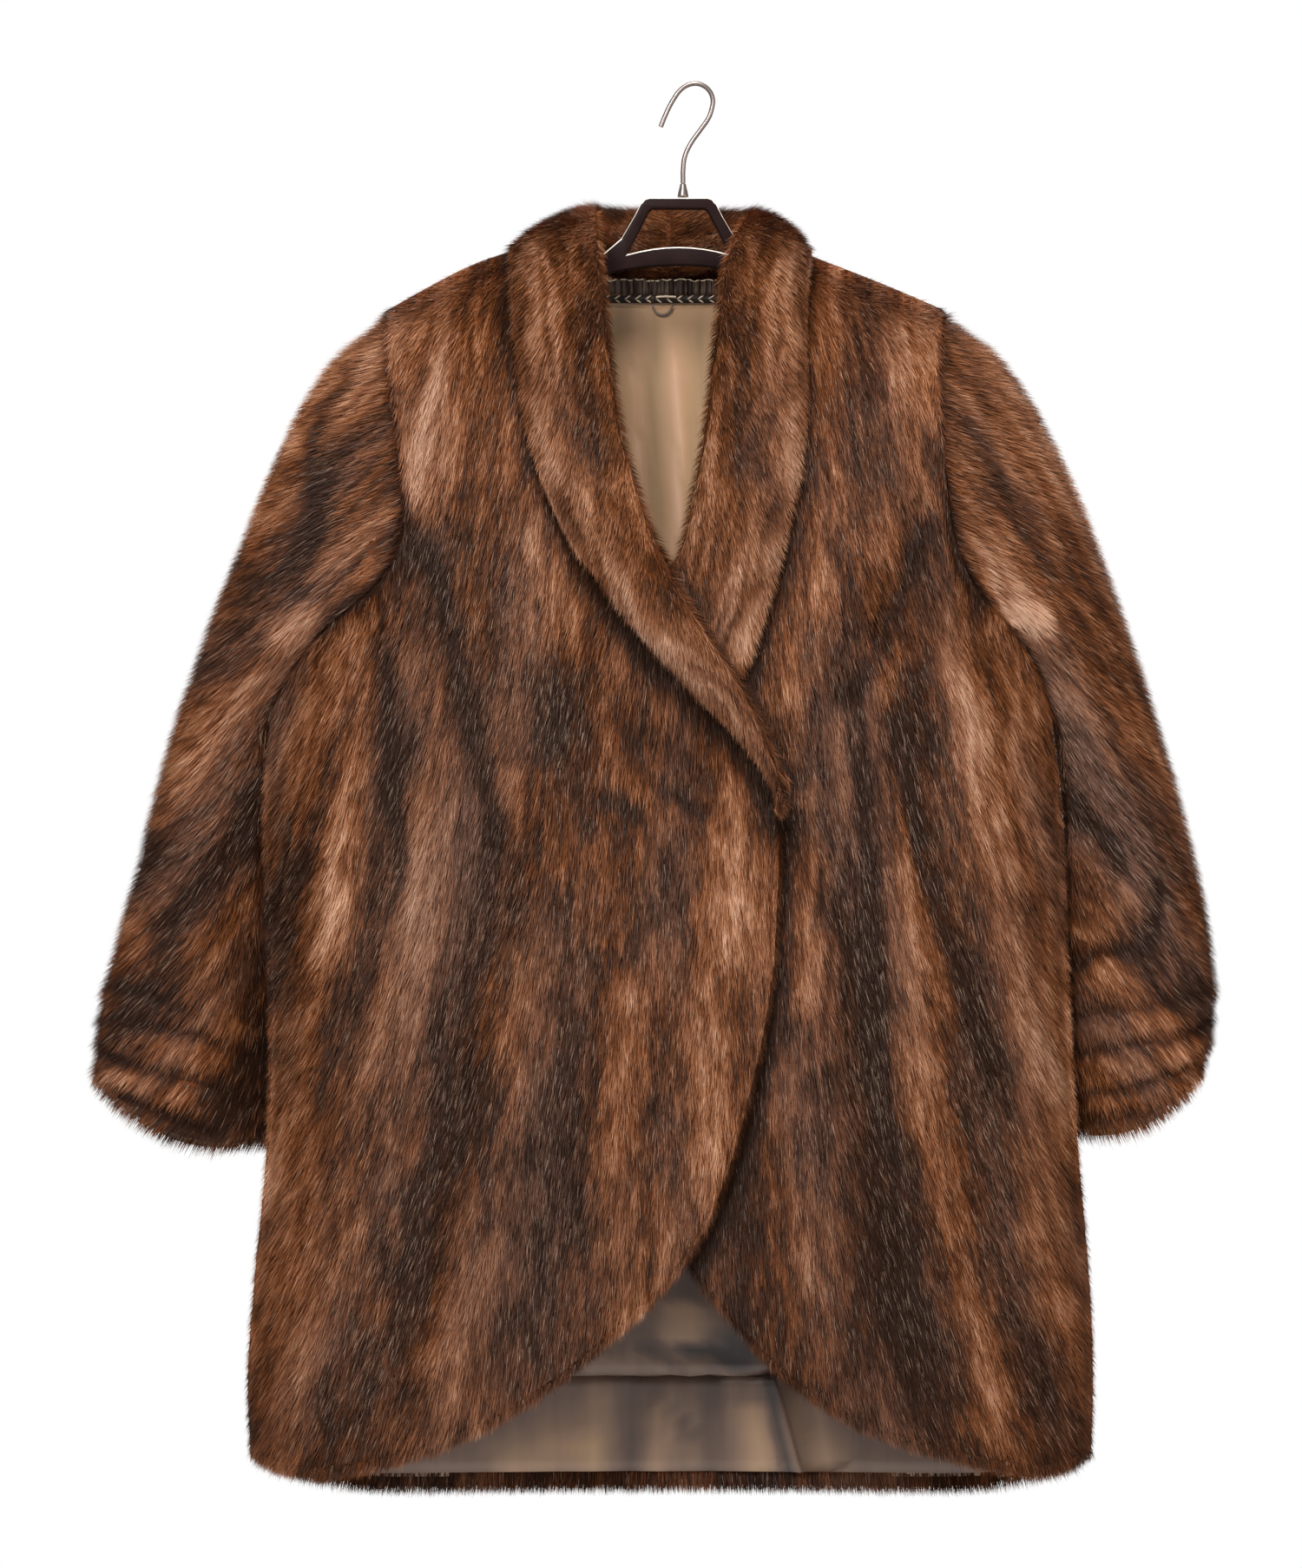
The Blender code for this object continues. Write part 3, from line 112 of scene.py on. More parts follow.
# %% Wires
class Wire:
    """An output socket that takes part in arithmetic."""

    def __init__(self, graph, socket):
        self.graph, self.socket = graph, socket

    def other(self, name):
        """Another output of the same node."""
        return Wire(self.graph, self.socket.node.outputs[name])

    def math(self, operation, first, second):
        return self.graph.node("ShaderNodeMath", {"operation": operation}, {0: first, 1: second})

    def __add__(self, value):
        return self.math("ADD", self, value)

    def __sub__(self, value):
        return self.math("SUBTRACT", self, value)

    def __rsub__(self, value):
        return self.math("SUBTRACT", value, self)

    def __mul__(self, value):
        return self.math("MULTIPLY", self, value)

    __radd__ = __add__
    __rmul__ = __mul__

    def plus(self, vector):
        return self.graph.node("ShaderNodeVectorMath", {"operation": "ADD"}, {0: self, 1: vector})

    def times(self, factor):
        return self.graph.node("ShaderNodeVectorMath", {"operation": "SCALE"}, {0: self, "Scale": factor})


# %% Graphs
class Graph:
    """A node tree that grows by one method."""

    def __init__(self, tree):
        self.tree = tree

    def node(self, kind, settings=None, inputs=None, output=0):
        made = self.tree.nodes.new(kind)
        for name, value in (settings or {}).items():
            if name == "stops":
                set_stops(made.color_ramp, value)
            else:
                setattr(made, name, value)
        for key, value in (inputs or {}).items():
            if isinstance(value, Wire):
                self.tree.links.new(value.socket, made.inputs[key])
            else:
                made.inputs[key].default_value = value
        return Wire(self, made.outputs[output]) if made.outputs else None


def set_stops(ramp, stops):
    while len(ramp.elements) < len(stops):
        ramp.elements.new(1.0)
    for element, (position, colour) in zip(ramp.elements, stops):
        element.position = position
        element.color = (*colour, 1.0)


# %% Finishes
EVEN = (1.0, 1.0, 1.0)
MIX_FACTOR, MIX_A, MIX_B, MIX_RESULT = 0, 6, 7, 2  # the sockets of a Mix node that mixes colours


class Paint(Graph):
    """A material with one Principled shader."""

    def __init__(self, name, **fixed):
        self.material = bpy.data.materials.new(name)
        self.material.use_nodes = True
        super().__init__(self.material.node_tree)
        self.shader = self.tree.nodes["Principled BSDF"]
        for socket, value in fixed.items():
            self.shader.inputs[socket.replace("_", " ")].default_value = value

    def feed(self, socket, wire):
        self.tree.links.new(wire.socket, self.shader.inputs[socket])

    def attribute(self, name, output="Fac"):
        return self.node("ShaderNodeAttribute", {"attribute_name": name}, output=output)

    def place(self, scale=EVEN):
        """Object coordinates, stretched by a scale for each axis."""
        where = self.node("ShaderNodeTexCoord", output="Object")
        return self.node("ShaderNodeMapping", {}, {"Vector": where, "Scale": scale})

    def noise(self, where, scale, detail=2.0):
        return self.node("ShaderNodeTexNoise", {}, {"Vector": where, "Scale": scale, "Detail": detail})

    def ramp(self, factor, stops):
        return self.node("ShaderNodeValToRGB", {"stops": stops}, {"Fac": factor})

    def mix(self, first, second, factor, blend="MIX"):
        settings = {"data_type": "RGBA", "blend_type": blend}
        values = {MIX_FACTOR: factor, MIX_A: first, MIX_B: second}
        return self.node("ShaderNodeMix", settings, values, MIX_RESULT)

    def clamped(self, wire):
        return self.node("ShaderNodeMath", {"operation": "ADD", "use_clamp": True}, {0: wire, 1: 0.0})

    def two_tones(self, dark, light, rate, detail=2.0, stretch=EVEN):
        """Mixes two tones by a noise for the base colour, and gives that noise."""
        grain = self.noise(self.place(stretch), rate, detail)
        self.feed("Base Color", self.mix((*dark, 1.0), (*light, 1.0), grain))
        return grain

    def bump(self, height, strength, distance):
        values = {"Height": height, "Strength": strength, "Distance": distance}
        self.feed("Normal", self.node("ShaderNodeBump", {}, values))


# %% [markdown]
# ## Light
#
# Fur is dark and shows its shape by the shine on its hairs. Soft lights from above and from both sides of
# the camera draw that shine, and a rear one parts the hair's edge from the background. The world is white
# to the eye but lights the coat with less than half of that, so that folds keep their shade. The floor is
# pale and lies below the hem, where the front view doesn't reach.

# %% Lights and world
LIGHT_COLUMNS = ("name", "place", "size", "power")  # metres and watts
LIGHTS = (
    ("key", (-1.0, -2.7, 1.1), 0.9, 62.0),
    ("fill", (1.8, -2.6, 0.1), 1.6, 24.0),
    ("top", (-0.1, -1.1, 1.4), 0.5, 34.0),
    ("rear", (0.3, 2.6, 0.9), 2.0, 40.0),
)
SEEN_STRENGTH = 1.0
AMBIENT_STRENGTH = 0.40


def add_light(name, place, size, power):
    """A round light that faces the middle of the view."""
    light = link(name, bpy.data.lights.new(name, "AREA"))
    light.data.shape = "DISK"
    light.data.size = size
    light.data.energy = power
    light.location = place
    light.rotation_euler = (VIEW_MIDDLE - light.location).to_track_quat("-Z", "Y").to_euler()


for row in LIGHTS:
    add_light(**dict(zip(LIGHT_COLUMNS, row)))
print(len(LIGHTS), "lights,", sum(row[-1] for row in LIGHTS), "watts")

world = bpy.data.worlds.new("studio")
world.use_nodes = True
bpy.context.scene.world = world
bpy.context.scene.view_settings.view_transform = "Standard"
sky = Graph(world.node_tree)
background = sky.tree.nodes["Background"]
background.inputs["Color"].default_value = (1.0, 1.0, 1.0, 1.0)
strength = sky.node("ShaderNodeLightPath") * (SEEN_STRENGTH - AMBIENT_STRENGTH) + AMBIENT_STRENGTH
sky.tree.links.new(strength.socket, background.inputs["Strength"])

# %% Floor
FLOOR_Z = -1.75
FLOOR_HALF = 2.8

floor_paint = Paint("pale floor", Roughness=0.9)
floor_paint.two_tones((0.93, 0.93, 0.93), (0.90, 0.90, 0.91), rate=3.0)
floor_mesh = bpy.data.meshes.new("floor")
corners = [(x * FLOOR_HALF, y * FLOOR_HALF, FLOOR_Z) for x, y in ((-1, -1), (1, -1), (1, 1), (-1, 1))]
floor_mesh.from_pydata(corners, [], [(0, 1, 2, 3)])
floor_mesh.materials.append(floor_paint.material)
link("floor", floor_mesh)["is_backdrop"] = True

# %% [markdown]
# ## From solids to skins
#
# A fur panel is leather with hair standing on it. The solid's outer face is where the tips of the hair end,
# so the leather lies deeper. Its mesh starts as a copy of the solid: loose triangles are merged, paired
# into quads and subdivided, and then the face that carries hair is drawn in by the depth of the pile. At a
# seam the pile stays level from panel to panel, and at a free edge the leather also draws back from the
# edge.

# %% Sizes of the pile
PILE = {"back": 0.0056, "front": 0.0056, "sleeve": 0.0054, "collar": 0.0058}
CUFF_TOP = -0.640  # height where the tucks of the cuffs start
BODY_MIDDLE = -0.0195  # x of the coat's middle

# Middle lines of the sleeves, from the armhole to the cuff.
SLEEVE_LINES = {
    "sleeve_right": (
        (-0.262, 0.000, -0.292),
        (-0.291, 0.012, -0.312),
        (-0.331, 0.037, -0.431),
        (-0.356, 0.044, -0.561),
        (-0.374, 0.049, -0.675),
        (-0.389, 0.050, -0.820),
    ),
    "sleeve_left": (
        (0.218, 0.000, -0.293),
        (0.243, 0.012, -0.310),
        (0.286, 0.037, -0.426),
        (0.314, 0.044, -0.558),
        (0.332, 0.049, -0.672),
        (0.334, 0.050, -0.820),
    ),
}

# Lines along the middle of the collar's upper side, from the back of the neck to the lapel's point.
COLLAR_LINES = {
    "collar_right": (
        (-0.018, 0.055, -0.095),
        (-0.054, 0.047, -0.095),
        (-0.090, 0.028, -0.100),
        (-0.104, 0.000, -0.105),
        (-0.103, -0.030, -0.125),
        (-0.100, -0.055, -0.157),
        (-0.092, -0.070, -0.237),
        (-0.068, -0.080, -0.321),
        (-0.025, -0.092, -0.398),
        (0.026, -0.105, -0.461),
        (0.063, -0.100, -0.545),
    ),
    "collar_left": (
        (-0.018, 0.055, -0.095),
        (0.018, 0.047, -0.095),
        (0.050, 0.028, -0.100),
        (0.062, 0.000, -0.105),
        (0.056, -0.030, -0.125),
        (0.050, -0.055, -0.157),
        (0.046, -0.070, -0.237),
        (0.034, -0.080, -0.320),
        (0.015, -0.085, -0.387),
        (-0.010, -0.080, -0.450),
    ),
}


# %% Places along a line
LINE_BLEND = 0.02  # metres over which stretches that meet share their direction
TINY = 1e-9  # keeps a vector of no length from a division by zero
INSIDE_PULL = 0.2  # the hollow's middle beside a point lies this share of the way to the coat's middle
INSIDE_TOP = -0.25  # the hollow of the body lies below this height


def along_line(points, line):
    """For each point: the nearest place on a bent line, the run to it and the line's direction there."""
    line = np.array(line)
    starts, steps = line[:-1], np.diff(line, axis=0)
    lengths = np.linalg.norm(steps, axis=1)
    runs = np.concatenate([[0.0], np.cumsum(lengths)[:-1]])
    away = points[:, None, :] - starts[None]
    share = np.clip((away * steps).sum(2) / lengths**2, 0.0, 1.0)
    places = starts + share[:, :, None] * steps
    distance = np.linalg.norm(points[:, None, :] - places, axis=2)
    best = distance.argmin(1)
    pick = np.arange(len(points))
    weight = np.exp(-((distance - distance[pick, best][:, None]) / LINE_BLEND))
    direction = (weight[:, :, None] * (steps / lengths[:, None])[None]).sum(1)
    run = runs[best] + share[pick, best] * lengths[best]
    return places[pick, best], run, normalised(direction)


def normalised(vectors):
    return vectors / np.maximum(np.linalg.norm(vectors, axis=1, keepdims=True), TINY)


def from_inside(node, points):
    """Unit vectors from the middle of a hollow panel towards its points."""
    if node in SLEEVE_LINES:
        middle = along_line(points, SLEEVE_LINES[node])[0]
    else:
        middle = points * [1.0 - INSIDE_PULL, 0.0, 1.0] + [INSIDE_PULL * BODY_MIDDLE, 0.0, 0.0]
        middle[:, 2] = np.minimum(middle[:, 2], INSIDE_TOP)
    return normalised(points - middle)


# %% Meshes as arrays
def read(collection, name, width=1, kind=np.float32):
    """One value of every element as an array, with a row for each element where the value is a vector."""
    values = np.empty(len(collection) * width, kind)
    collection.foreach_get(name, values)
    return values.reshape(-1, width) if width > 1 else values


def corner_owners(mesh):
    """Which face and which vertex each corner belongs to, and how many corners each face has."""
    totals = read(mesh.polygons, "loop_total", 1, np.int32)
    return np.repeat(np.arange(len(totals)), totals), read(mesh.loops, "vertex_index", 1, np.int32), totals


def vertex_normals(mesh, chosen):
    """Normals of the vertices from the chosen faces only, and which vertices these faces touch."""
    normals = read(mesh.polygons, "normal", 3)
    owner, vertex, _ = corner_owners(mesh)
    used = chosen[owner]
    summed = np.zeros((len(mesh.vertices), 3))
    np.add.at(summed, vertex[used], normals[owner[used]])
    touched = np.zeros(len(mesh.vertices), bool)
    touched[vertex[used]] = True
    return normalised(summed), touched


def shell_area(mesh):
    """Half the area of a closed shell: one side of the cloth."""
    return float(read(mesh.polygons, "area").sum()) / 2


def tree_over(*meshes):
    """A search tree over the faces of some meshes."""
    points, faces = [], []
    for mesh in meshes:
        start = len(points)
        points += [vertex.co.copy() for vertex in mesh.vertices]
        faces += [tuple(start + i for i in polygon.vertices) for polygon in mesh.polygons]
    return BVHTree.FromPolygons(points, faces)


def tree_of(*nodes):
    """A search tree over the faces of some nodes."""
    return tree_over(*[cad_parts[node].data for node in nodes])


# %% Meshes opened and closed
SHARP_ANGLE = math.radians(50)


@contextmanager
def opened(mesh, into=None):
    """A mesh open for editing, which is written back, or into another mesh, when it is closed."""
    bm = bmesh.new()
    bm.from_mesh(mesh)
    yield bm
    bm.to_mesh(into or mesh)
    bm.free()


def evaluated_mesh(obj):
    graph = bpy.context.evaluated_depsgraph_get()
    return bpy.data.meshes.new_from_object(obj.evaluated_get(graph))


def apply_modifiers(obj):
    """Gives an object the mesh that its modifiers make, with no material yet."""
    raw = obj.data
    made = evaluated_mesh(obj)
    obj.modifiers.clear()
    obj.data = made
    bpy.data.meshes.remove(raw)
    made.name = obj.name
    made.materials.clear()


def smooth(mesh, sharp=SHARP_ANGLE):
    mesh.shade_smooth()
    mesh.set_sharp_from_angle(angle=sharp)


def add_piece(obj, node=None):
    """Makes an object a piece of the coat: it rides on the one body and may stand for a node."""
    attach(obj, "root")
    if node:
        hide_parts(node)


# %% The merged and subdivided copy
FUR_NODES = ("back", "front_right", "front_left", "sleeve_right", "sleeve_left")
FUR_NODES += ("collar_right", "collar_left")
MERGE_DISTANCE = 0.00002
JOIN_ANGLE = math.radians(38)  # triangles pair up to a quad where they bend less than this
JOIN_SHAPE = 1.4


def rounded_copy(node, name, levels=1):
    """A closed quad mesh on a node's form, with its sharp rims kept."""
    obj = link(name, bpy.data.meshes.new(name))
    with opened(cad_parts[node].data, obj.data) as bm:
        bmesh.ops.remove_doubles(bm, verts=bm.verts, dist=MERGE_DISTANCE)
        limits = {"angle_face_threshold": JOIN_ANGLE, "angle_shape_threshold": JOIN_SHAPE}
        bmesh.ops.join_triangles(bm, faces=bm.faces, **limits)
        crease = bm.edges.layers.float.get("crease_edge") or bm.edges.layers.float.new("crease_edge")
        for edge in bm.edges:
            if len(edge.link_faces) == 2 and edge.calc_face_angle(0.0) > SHARP_ANGLE:
                edge[crease] = 1.0
    rounding = obj.modifiers.new("rounding", "SUBSURF")
    rounding.levels = rounding.render_levels = levels
    apply_modifiers(obj)
    return obj


# %% Which faces carry hair
RIM_SHARE = 0.35  # a face whose normal turns this little from the rim's is a rim
FREE_REACH = 0.0040  # a rim with no other panel this near in front of it is a free edge
HEM_STRIP = 0.0128  # the fur turns round the back's hem and up inside by this much
SATIN_REACH = 0.0120  # the satin inside stops this far from a seam
SLEEVE_SATIN_REACH = 0.0300  # and this far inside a sleeve, above its cuff
UNDER_REACH = 0.0100  # a collar's face that turns to another panel this near lies on it
UNDER_TURN = 0.45
LOOK_START = 0.0002  # a look along a normal starts this far off the face


def face_kinds(node, mesh):
    """Three masks over the faces: those with hair, the free rims among them, and the hollow's lining."""
    normals = read(mesh.polygons, "normal", 3)
    centres = read(mesh.polygons, "center", 3)
    others = tree_of(*[other for other in FUR_NODES if other != node])
    if node in COLLAR_LINES:
        hairy = ~np.array([lies_on(others, c, n) for c, n in zip(centres, normals)])
        return hairy, np.zeros(len(hairy), bool), np.zeros(len(hairy), bool)
    outwards = (normals * from_inside(node, centres)).sum(1)
    free = np.array([others.find_nearest(Vector(c), satin_reach(node, c))[0] is None for c in centres])
    faced = np.array([near(others, c, n, FREE_REACH) for c, n in zip(centres, normals)])
    rims = (np.abs(outwards) <= RIM_SHARE) & ~faced
    if node == "back":
        rims |= (centres[:, 2] < centres[:, 2].min() + HEM_STRIP) & (outwards <= RIM_SHARE)
    hairy = (outwards > RIM_SHARE) | rims
    return hairy, rims, ~hairy & free & (outwards < -RIM_SHARE)


def satin_reach(node, point):
    """How far from other panels the satin inside starts."""
    return SLEEVE_SATIN_REACH if node in SLEEVE_LINES and point[2] > CUFF_TOP else SATIN_REACH


def lies_on(tree, point, normal):
    """Whether a face is turned to something close by."""
    place, _, _, distance = tree.find_nearest(Vector(point), UNDER_REACH)
    if place is None:
        return False
    return (place - Vector(point)).dot(Vector(normal)) > UNDER_TURN * distance


def near(tree, point, direction, reach):
    """Whether something lies this close to a point, looking along a direction."""
    start = Vector(point) + Vector(direction) * LOOK_START
    return tree.ray_cast(start, Vector(direction), reach)[0] is not None


def refine(mesh, chosen):
    """Cuts each edge between two chosen faces once more, for the finer creases."""
    with opened(mesh) as bm:
        bm.faces.ensure_lookup_table()
        picked = {face for face, wanted in zip(bm.faces, chosen) if wanted}
        edges = [edge for edge in bm.edges if all(face in picked for face in edge.link_faces)]
        bmesh.ops.subdivide_edges(bm, edges=edges, cuts=1, use_grid_fill=True)


# %% [markdown]
# ## Bands of the pelts
#
# Each pelt has a dark stripe down its back and lighter flanks, and sewn side by side they give the coat its
# long bands. The big bands and folds are laid one by one. A row of a table is one band: where it starts and
# ends, how far it bows, how wide it is, how deep a trough (+) or how high a ridge (-) it makes, how much
# lighter (+) or darker (-) it is, and how much grey guard hair with a painted sheen shines over it. The
# tone is partly the pelts' own stripes and partly painted light and shade: painted shade in the troughs of
# folds, tucks and hollows, and painted highlights on ridges and shoulders.

# %% Tables of bands
BAND_COLUMNS = ("x_top", "z_top", "x_end", "z_end", "bow", "width", "depth", "tone", "frost")
BANDS = {
    "front_right": (
        (-0.215, -0.170, -0.185, -0.330, 0.000, 0.022, 0.000, 0.26, 0.0),
        (-0.150, -0.160, -0.165, -0.330, 0.000, 0.018, 0.000, -0.22, 0.0),
        (-0.125, -0.150, -0.120, -0.420, 0.004, 0.020, 0.000, 0.20, 0.1),
        (-0.185, -0.330, -0.110, -0.500, 0.012, 0.040, 0.000, -0.32, 0.4),
        (-0.110, -0.430, -0.080, -0.560, 0.006, 0.026, 0.000, -0.30, 0.3),
        (-0.250, -0.400, -0.270, -0.640, 0.004, 0.020, 0.000, 0.20, 0.1),
        (-0.220, -0.460, -0.260, -0.740, 0.006, 0.017, 0.001, -0.28, 0.2),
        (-0.190, -0.540, -0.285, -0.980, 0.010, 0.024, -0.001, 0.24, 0.2),
        (-0.150, -0.560, -0.250, -1.000, 0.010, 0.022, 0.001, -0.30, 0.5),
        (-0.120, -0.600, -0.190, -1.000, 0.008, 0.022, -0.001, 0.22, 0.2),
        (-0.085, -0.580, -0.120, -0.960, 0.004, 0.022, 0.000, -0.26, 0.4),
        (-0.050, -0.600, -0.060, -0.960, 0.002, 0.022, 0.000, 0.16, 0.1),
        (-0.015, -0.560, -0.015, -0.900, 0.002, 0.020, 0.000, -0.20, 0.3),
        (0.025, -0.540, 0.015, -0.860, 0.000, 0.016, 0.000, 0.14, 0.0),
        (-0.060, -0.470, 0.020, -0.520, -0.004, 0.014, 0.001, -0.25, 0.0),
        (-0.310, -0.440, -0.305, -0.760, 0.000, 0.014, 0.000, -0.12, 0.5),
        (-0.206, -0.318, -0.144, -0.577, 0.004, 0.0080, 0.000, -0.54, 0.2),
        (-0.232, -0.411, -0.217, -0.610, 0.003, 0.0065, 0.000, -0.51, 0.2),
        (-0.185, -0.326, -0.174, -0.328, 0.000, 0.0024, 0.000, -0.70, 0.0),
        (-0.117, -0.386, -0.112, -0.392, 0.000, 0.0024, 0.000, -0.60, 0.0),
        (-0.070, -0.526, -0.036, -0.547, 0.000, 0.0045, 0.000, -0.55, 0.0),
        (-0.031, -0.515, 0.024, -0.552, 0.000, 0.0060, 0.000, -0.50, 0.0),
        (-0.312, -0.414, -0.268, -0.396, 0.003, 0.0120, -0.002, 0.85, 0.0),
        (0.028, -0.600, -0.020, -0.880, -0.014, 0.0100, 0.000, 0.24, 0.0),
        (-0.225, -0.800, -0.290, -1.010, 0.004, 0.0120, 0.000, -0.26, 0.3),
    ),
    "front_left": (
        (0.070, -0.150, 0.075, -0.330, 0.000, 0.020, 0.000, 0.14, 0.0),
        (0.110, -0.160, 0.120, -0.360, 0.004, 0.018, 0.000, -0.18, 0.2),
        (0.150, -0.180, 0.160, -0.360, 0.002, 0.020, 0.000, 0.10, 0.0),
        (0.090, -0.400, 0.080, -0.560, 0.000, 0.020, 0.000, -0.24, 0.4),
        (0.130, -0.420, 0.170, -0.640, 0.004, 0.020, -0.001, 0.20, 0.1),
        (0.160, -0.430, 0.235, -0.760, -0.008, 0.018, 0.001, -0.30, 0.3),
        (0.200, -0.440, 0.265, -0.760, -0.006, 0.018, 0.000, 0.18, 0.1),
        (0.110, -0.560, 0.170, -0.950, -0.006, 0.022, 0.000, -0.26, 0.5),
        (0.075, -0.600, 0.100, -0.940, -0.004, 0.022, 0.000, 0.22, 0.2),
        (0.150, -0.640, 0.230, -1.000, -0.008, 0.024, 0.000, 0.20, 0.2),
        (0.200, -0.700, 0.270, -1.010, -0.006, 0.020, 0.000, -0.22, 0.5),
        (0.172, -0.325, 0.139, -0.416, -0.003, 0.0075, 0.000, -0.51, 0.0),
        (0.139, -0.416, 0.107, -0.462, 0.000, 0.0075, 0.000, -0.51, 0.0),
        (0.142, -0.466, 0.163, -0.563, 0.000, 0.0055, 0.000, -0.54, 0.2),
        (0.149, -0.461, 0.167, -0.580, 0.000, 0.0060, 0.000, -0.42, 0.2),
        (0.167, -0.580, 0.220, -0.739, 0.000, 0.0070, 0.000, -0.48, 0.2),
        (0.123, -0.501, 0.130, -0.633, 0.000, 0.0065, 0.000, -0.45, 0.2),
        (0.130, -0.633, 0.141, -0.791, 0.000, 0.0065, 0.000, -0.45, 0.2),
        (0.066, -0.5360, 0.092, -0.5345, 0.000, 0.0020, 0.000, -0.90, 0.0),
        (0.066, -0.5310, 0.092, -0.5295, 0.000, 0.0022, 0.000, 0.25, 0.0),
        (0.216, -0.402, 0.262, -0.396, 0.003, 0.0110, 0.000, 0.75, 0.0),
    ),
    "back": (
        (-0.170, -0.200, -0.220, -1.040, 0.006, 0.024, 0.001, -0.26, 0.3),
        (-0.120, -0.180, -0.150, -1.040, -0.004, 0.024, -0.001, 0.20, 0.1),
        (-0.070, -0.170, -0.085, -1.040, 0.004, 0.022, 0.001, -0.26, 0.5),
        (-0.020, -0.170, -0.020, -1.040, 0.002, 0.024, 0.000, 0.16, 0.1),
        (0.035, -0.170, 0.050, -1.040, 0.004, 0.022, 0.000, -0.26, 0.4),
        (0.090, -0.180, 0.120, -1.040, -0.004, 0.024, -0.001, 0.20, 0.1),
        (0.135, -0.190, 0.190, -1.040, 0.006, 0.022, 0.001, -0.26, 0.4),
        (-0.250, -0.460, -0.290, -1.020, 0.004, 0.020, 0.000, 0.16, 0.3),
        (0.220, -0.460, 0.255, -1.020, 0.004, 0.020, 0.000, 0.16, 0.3),
    ),
    "sleeve_right": (
        (-0.245, -0.200, -0.330, -0.330, 0.006, 0.020, 0.000, 0.14, 0.0),
        (-0.240, -0.250, -0.380, -0.450, 0.008, 0.018, 0.000, -0.24, 0.2),
        (-0.250, -0.330, -0.400, -0.530, 0.008, 0.018, 0.000, 0.20, 0.1),
        (-0.270, -0.380, -0.420, -0.600, 0.008, 0.018, 0.000, -0.26, 0.5),
        (-0.300, -0.430, -0.440, -0.660, 0.008, 0.018, 0.000, 0.18, 0.2),
        (-0.310, -0.500, -0.450, -0.720, 0.006, 0.018, 0.001, -0.28, 0.3),
        (-0.320, -0.590, -0.400, -0.760, 0.006, 0.018, 0.000, 0.12, 0.1),
        (-0.325, -0.640, -0.345, -0.770, 0.004, 0.014, 0.001, -0.40, 0.0),
        (-0.251, -0.212, -0.287, -0.265, 0.000, 0.0080, 0.000, -0.51, 0.0),
        (-0.287, -0.265, -0.280, -0.326, 0.004, 0.0080, 0.000, -0.51, 0.0),
        (-0.280, -0.326, -0.292, -0.384, 0.003, 0.0080, 0.000, -0.51, 0.0),
        (-0.312, -0.414, -0.275, -0.398, 0.003, 0.0120, 0.000, 0.60, 0.0),
        (-0.442, -0.673, -0.375, -0.689, 0.002, 0.0050, 0.000, -0.56, 0.0),
        (-0.440, -0.694, -0.352, -0.717, 0.003, 0.0050, 0.000, -0.62, 0.0),
        (-0.449, -0.709, -0.371, -0.729, 0.003, 0.0050, 0.000, 0.20, 0.0),
        (-0.453, -0.724, -0.352, -0.751, 0.003, 0.0050, 0.000, -0.66, 0.0),
        (-0.452, -0.737, -0.371, -0.763, 0.003, 0.0050, 0.000, 0.18, 0.0),
        (-0.452, -0.752, -0.352, -0.785, 0.003, 0.0050, 0.000, -0.60, 0.0),
        (-0.345, -0.700, -0.322, -0.715, 0.000, 0.0050, 0.000, 0.35, 0.0),
        (-0.350, -0.735, -0.322, -0.745, 0.000, 0.0050, 0.000, 0.30, 0.0),
    ),
    "sleeve_left": (
        (0.200, -0.200, 0.290, -0.330, -0.006, 0.020, 0.000, 0.14, 0.0),
        (0.195, -0.250, 0.330, -0.450, -0.008, 0.018, 0.000, -0.24, 0.2),
        (0.215, -0.330, 0.350, -0.530, -0.008, 0.018, 0.000, 0.20, 0.1),
        (0.240, -0.390, 0.370, -0.600, -0.008, 0.018, 0.000, -0.26, 0.5),
        (0.270, -0.450, 0.390, -0.660, -0.008, 0.018, 0.000, 0.16, 0.2),
        (0.275, -0.520, 0.400, -0.710, -0.006, 0.018, 0.001, -0.30, 0.3),
        (0.285, -0.620, 0.360, -0.760, -0.006, 0.018, 0.000, 0.12, 0.1),
        (0.216, -0.402, 0.262, -0.396, 0.003, 0.0110, 0.000, 0.75, 0.0),
        (0.270, -0.521, 0.318, -0.579, 0.002, 0.0060, 0.000, -0.68, 0.0),
        (0.345, -0.588, 0.338, -0.640, 0.003, 0.0060, 0.000, -0.68, 0.0),
        (0.338, -0.642, 0.284, -0.657, -0.004, 0.0060, 0.000, -0.68, 0.0),
        (0.326, -0.600, 0.300, -0.632, 0.000, 0.0120, 0.000, 0.34, 0.0),
        (0.284, -0.693, 0.390, -0.672, -0.003, 0.0040, 0.000, -0.42, 0.0),
        (0.286, -0.707, 0.392, -0.687, -0.003, 0.0050, 0.000, 0.14, 0.0),
        (0.284, -0.722, 0.392, -0.700, -0.003, 0.0040, 0.000, -0.45, 0.0),
        (0.286, -0.736, 0.391, -0.716, -0.003, 0.0050, 0.000, 0.14, 0.0),
        (0.286, -0.751, 0.388, -0.731, -0.003, 0.0040, 0.000, -0.45, 0.0),
        (0.290, -0.775, 0.384, -0.755, -0.003, 0.0045, 0.000, -0.30, 0.0),
    ),
    "collar_right": (
        (-0.125, -0.130, -0.080, -0.330, -0.010, 0.012, 0.000, 0.25, 0.0),
        (-0.080, -0.160, -0.070, -0.290, -0.004, 0.014, 0.000, -0.13, 0.3),
        (-0.060, -0.370, 0.050, -0.510, -0.006, 0.012, 0.000, 0.28, 0.0),
    ),
    "collar_left": (
        (0.070, -0.130, 0.076, -0.300, -0.004, 0.012, 0.000, 0.25, 0.0),
        (0.035, -0.160, 0.040, -0.300, -0.004, 0.014, 0.000, -0.12, 0.3),
        (0.060, -0.340, 0.020, -0.440, -0.004, 0.012, 0.000, 0.18, 0.0),
    ),
}


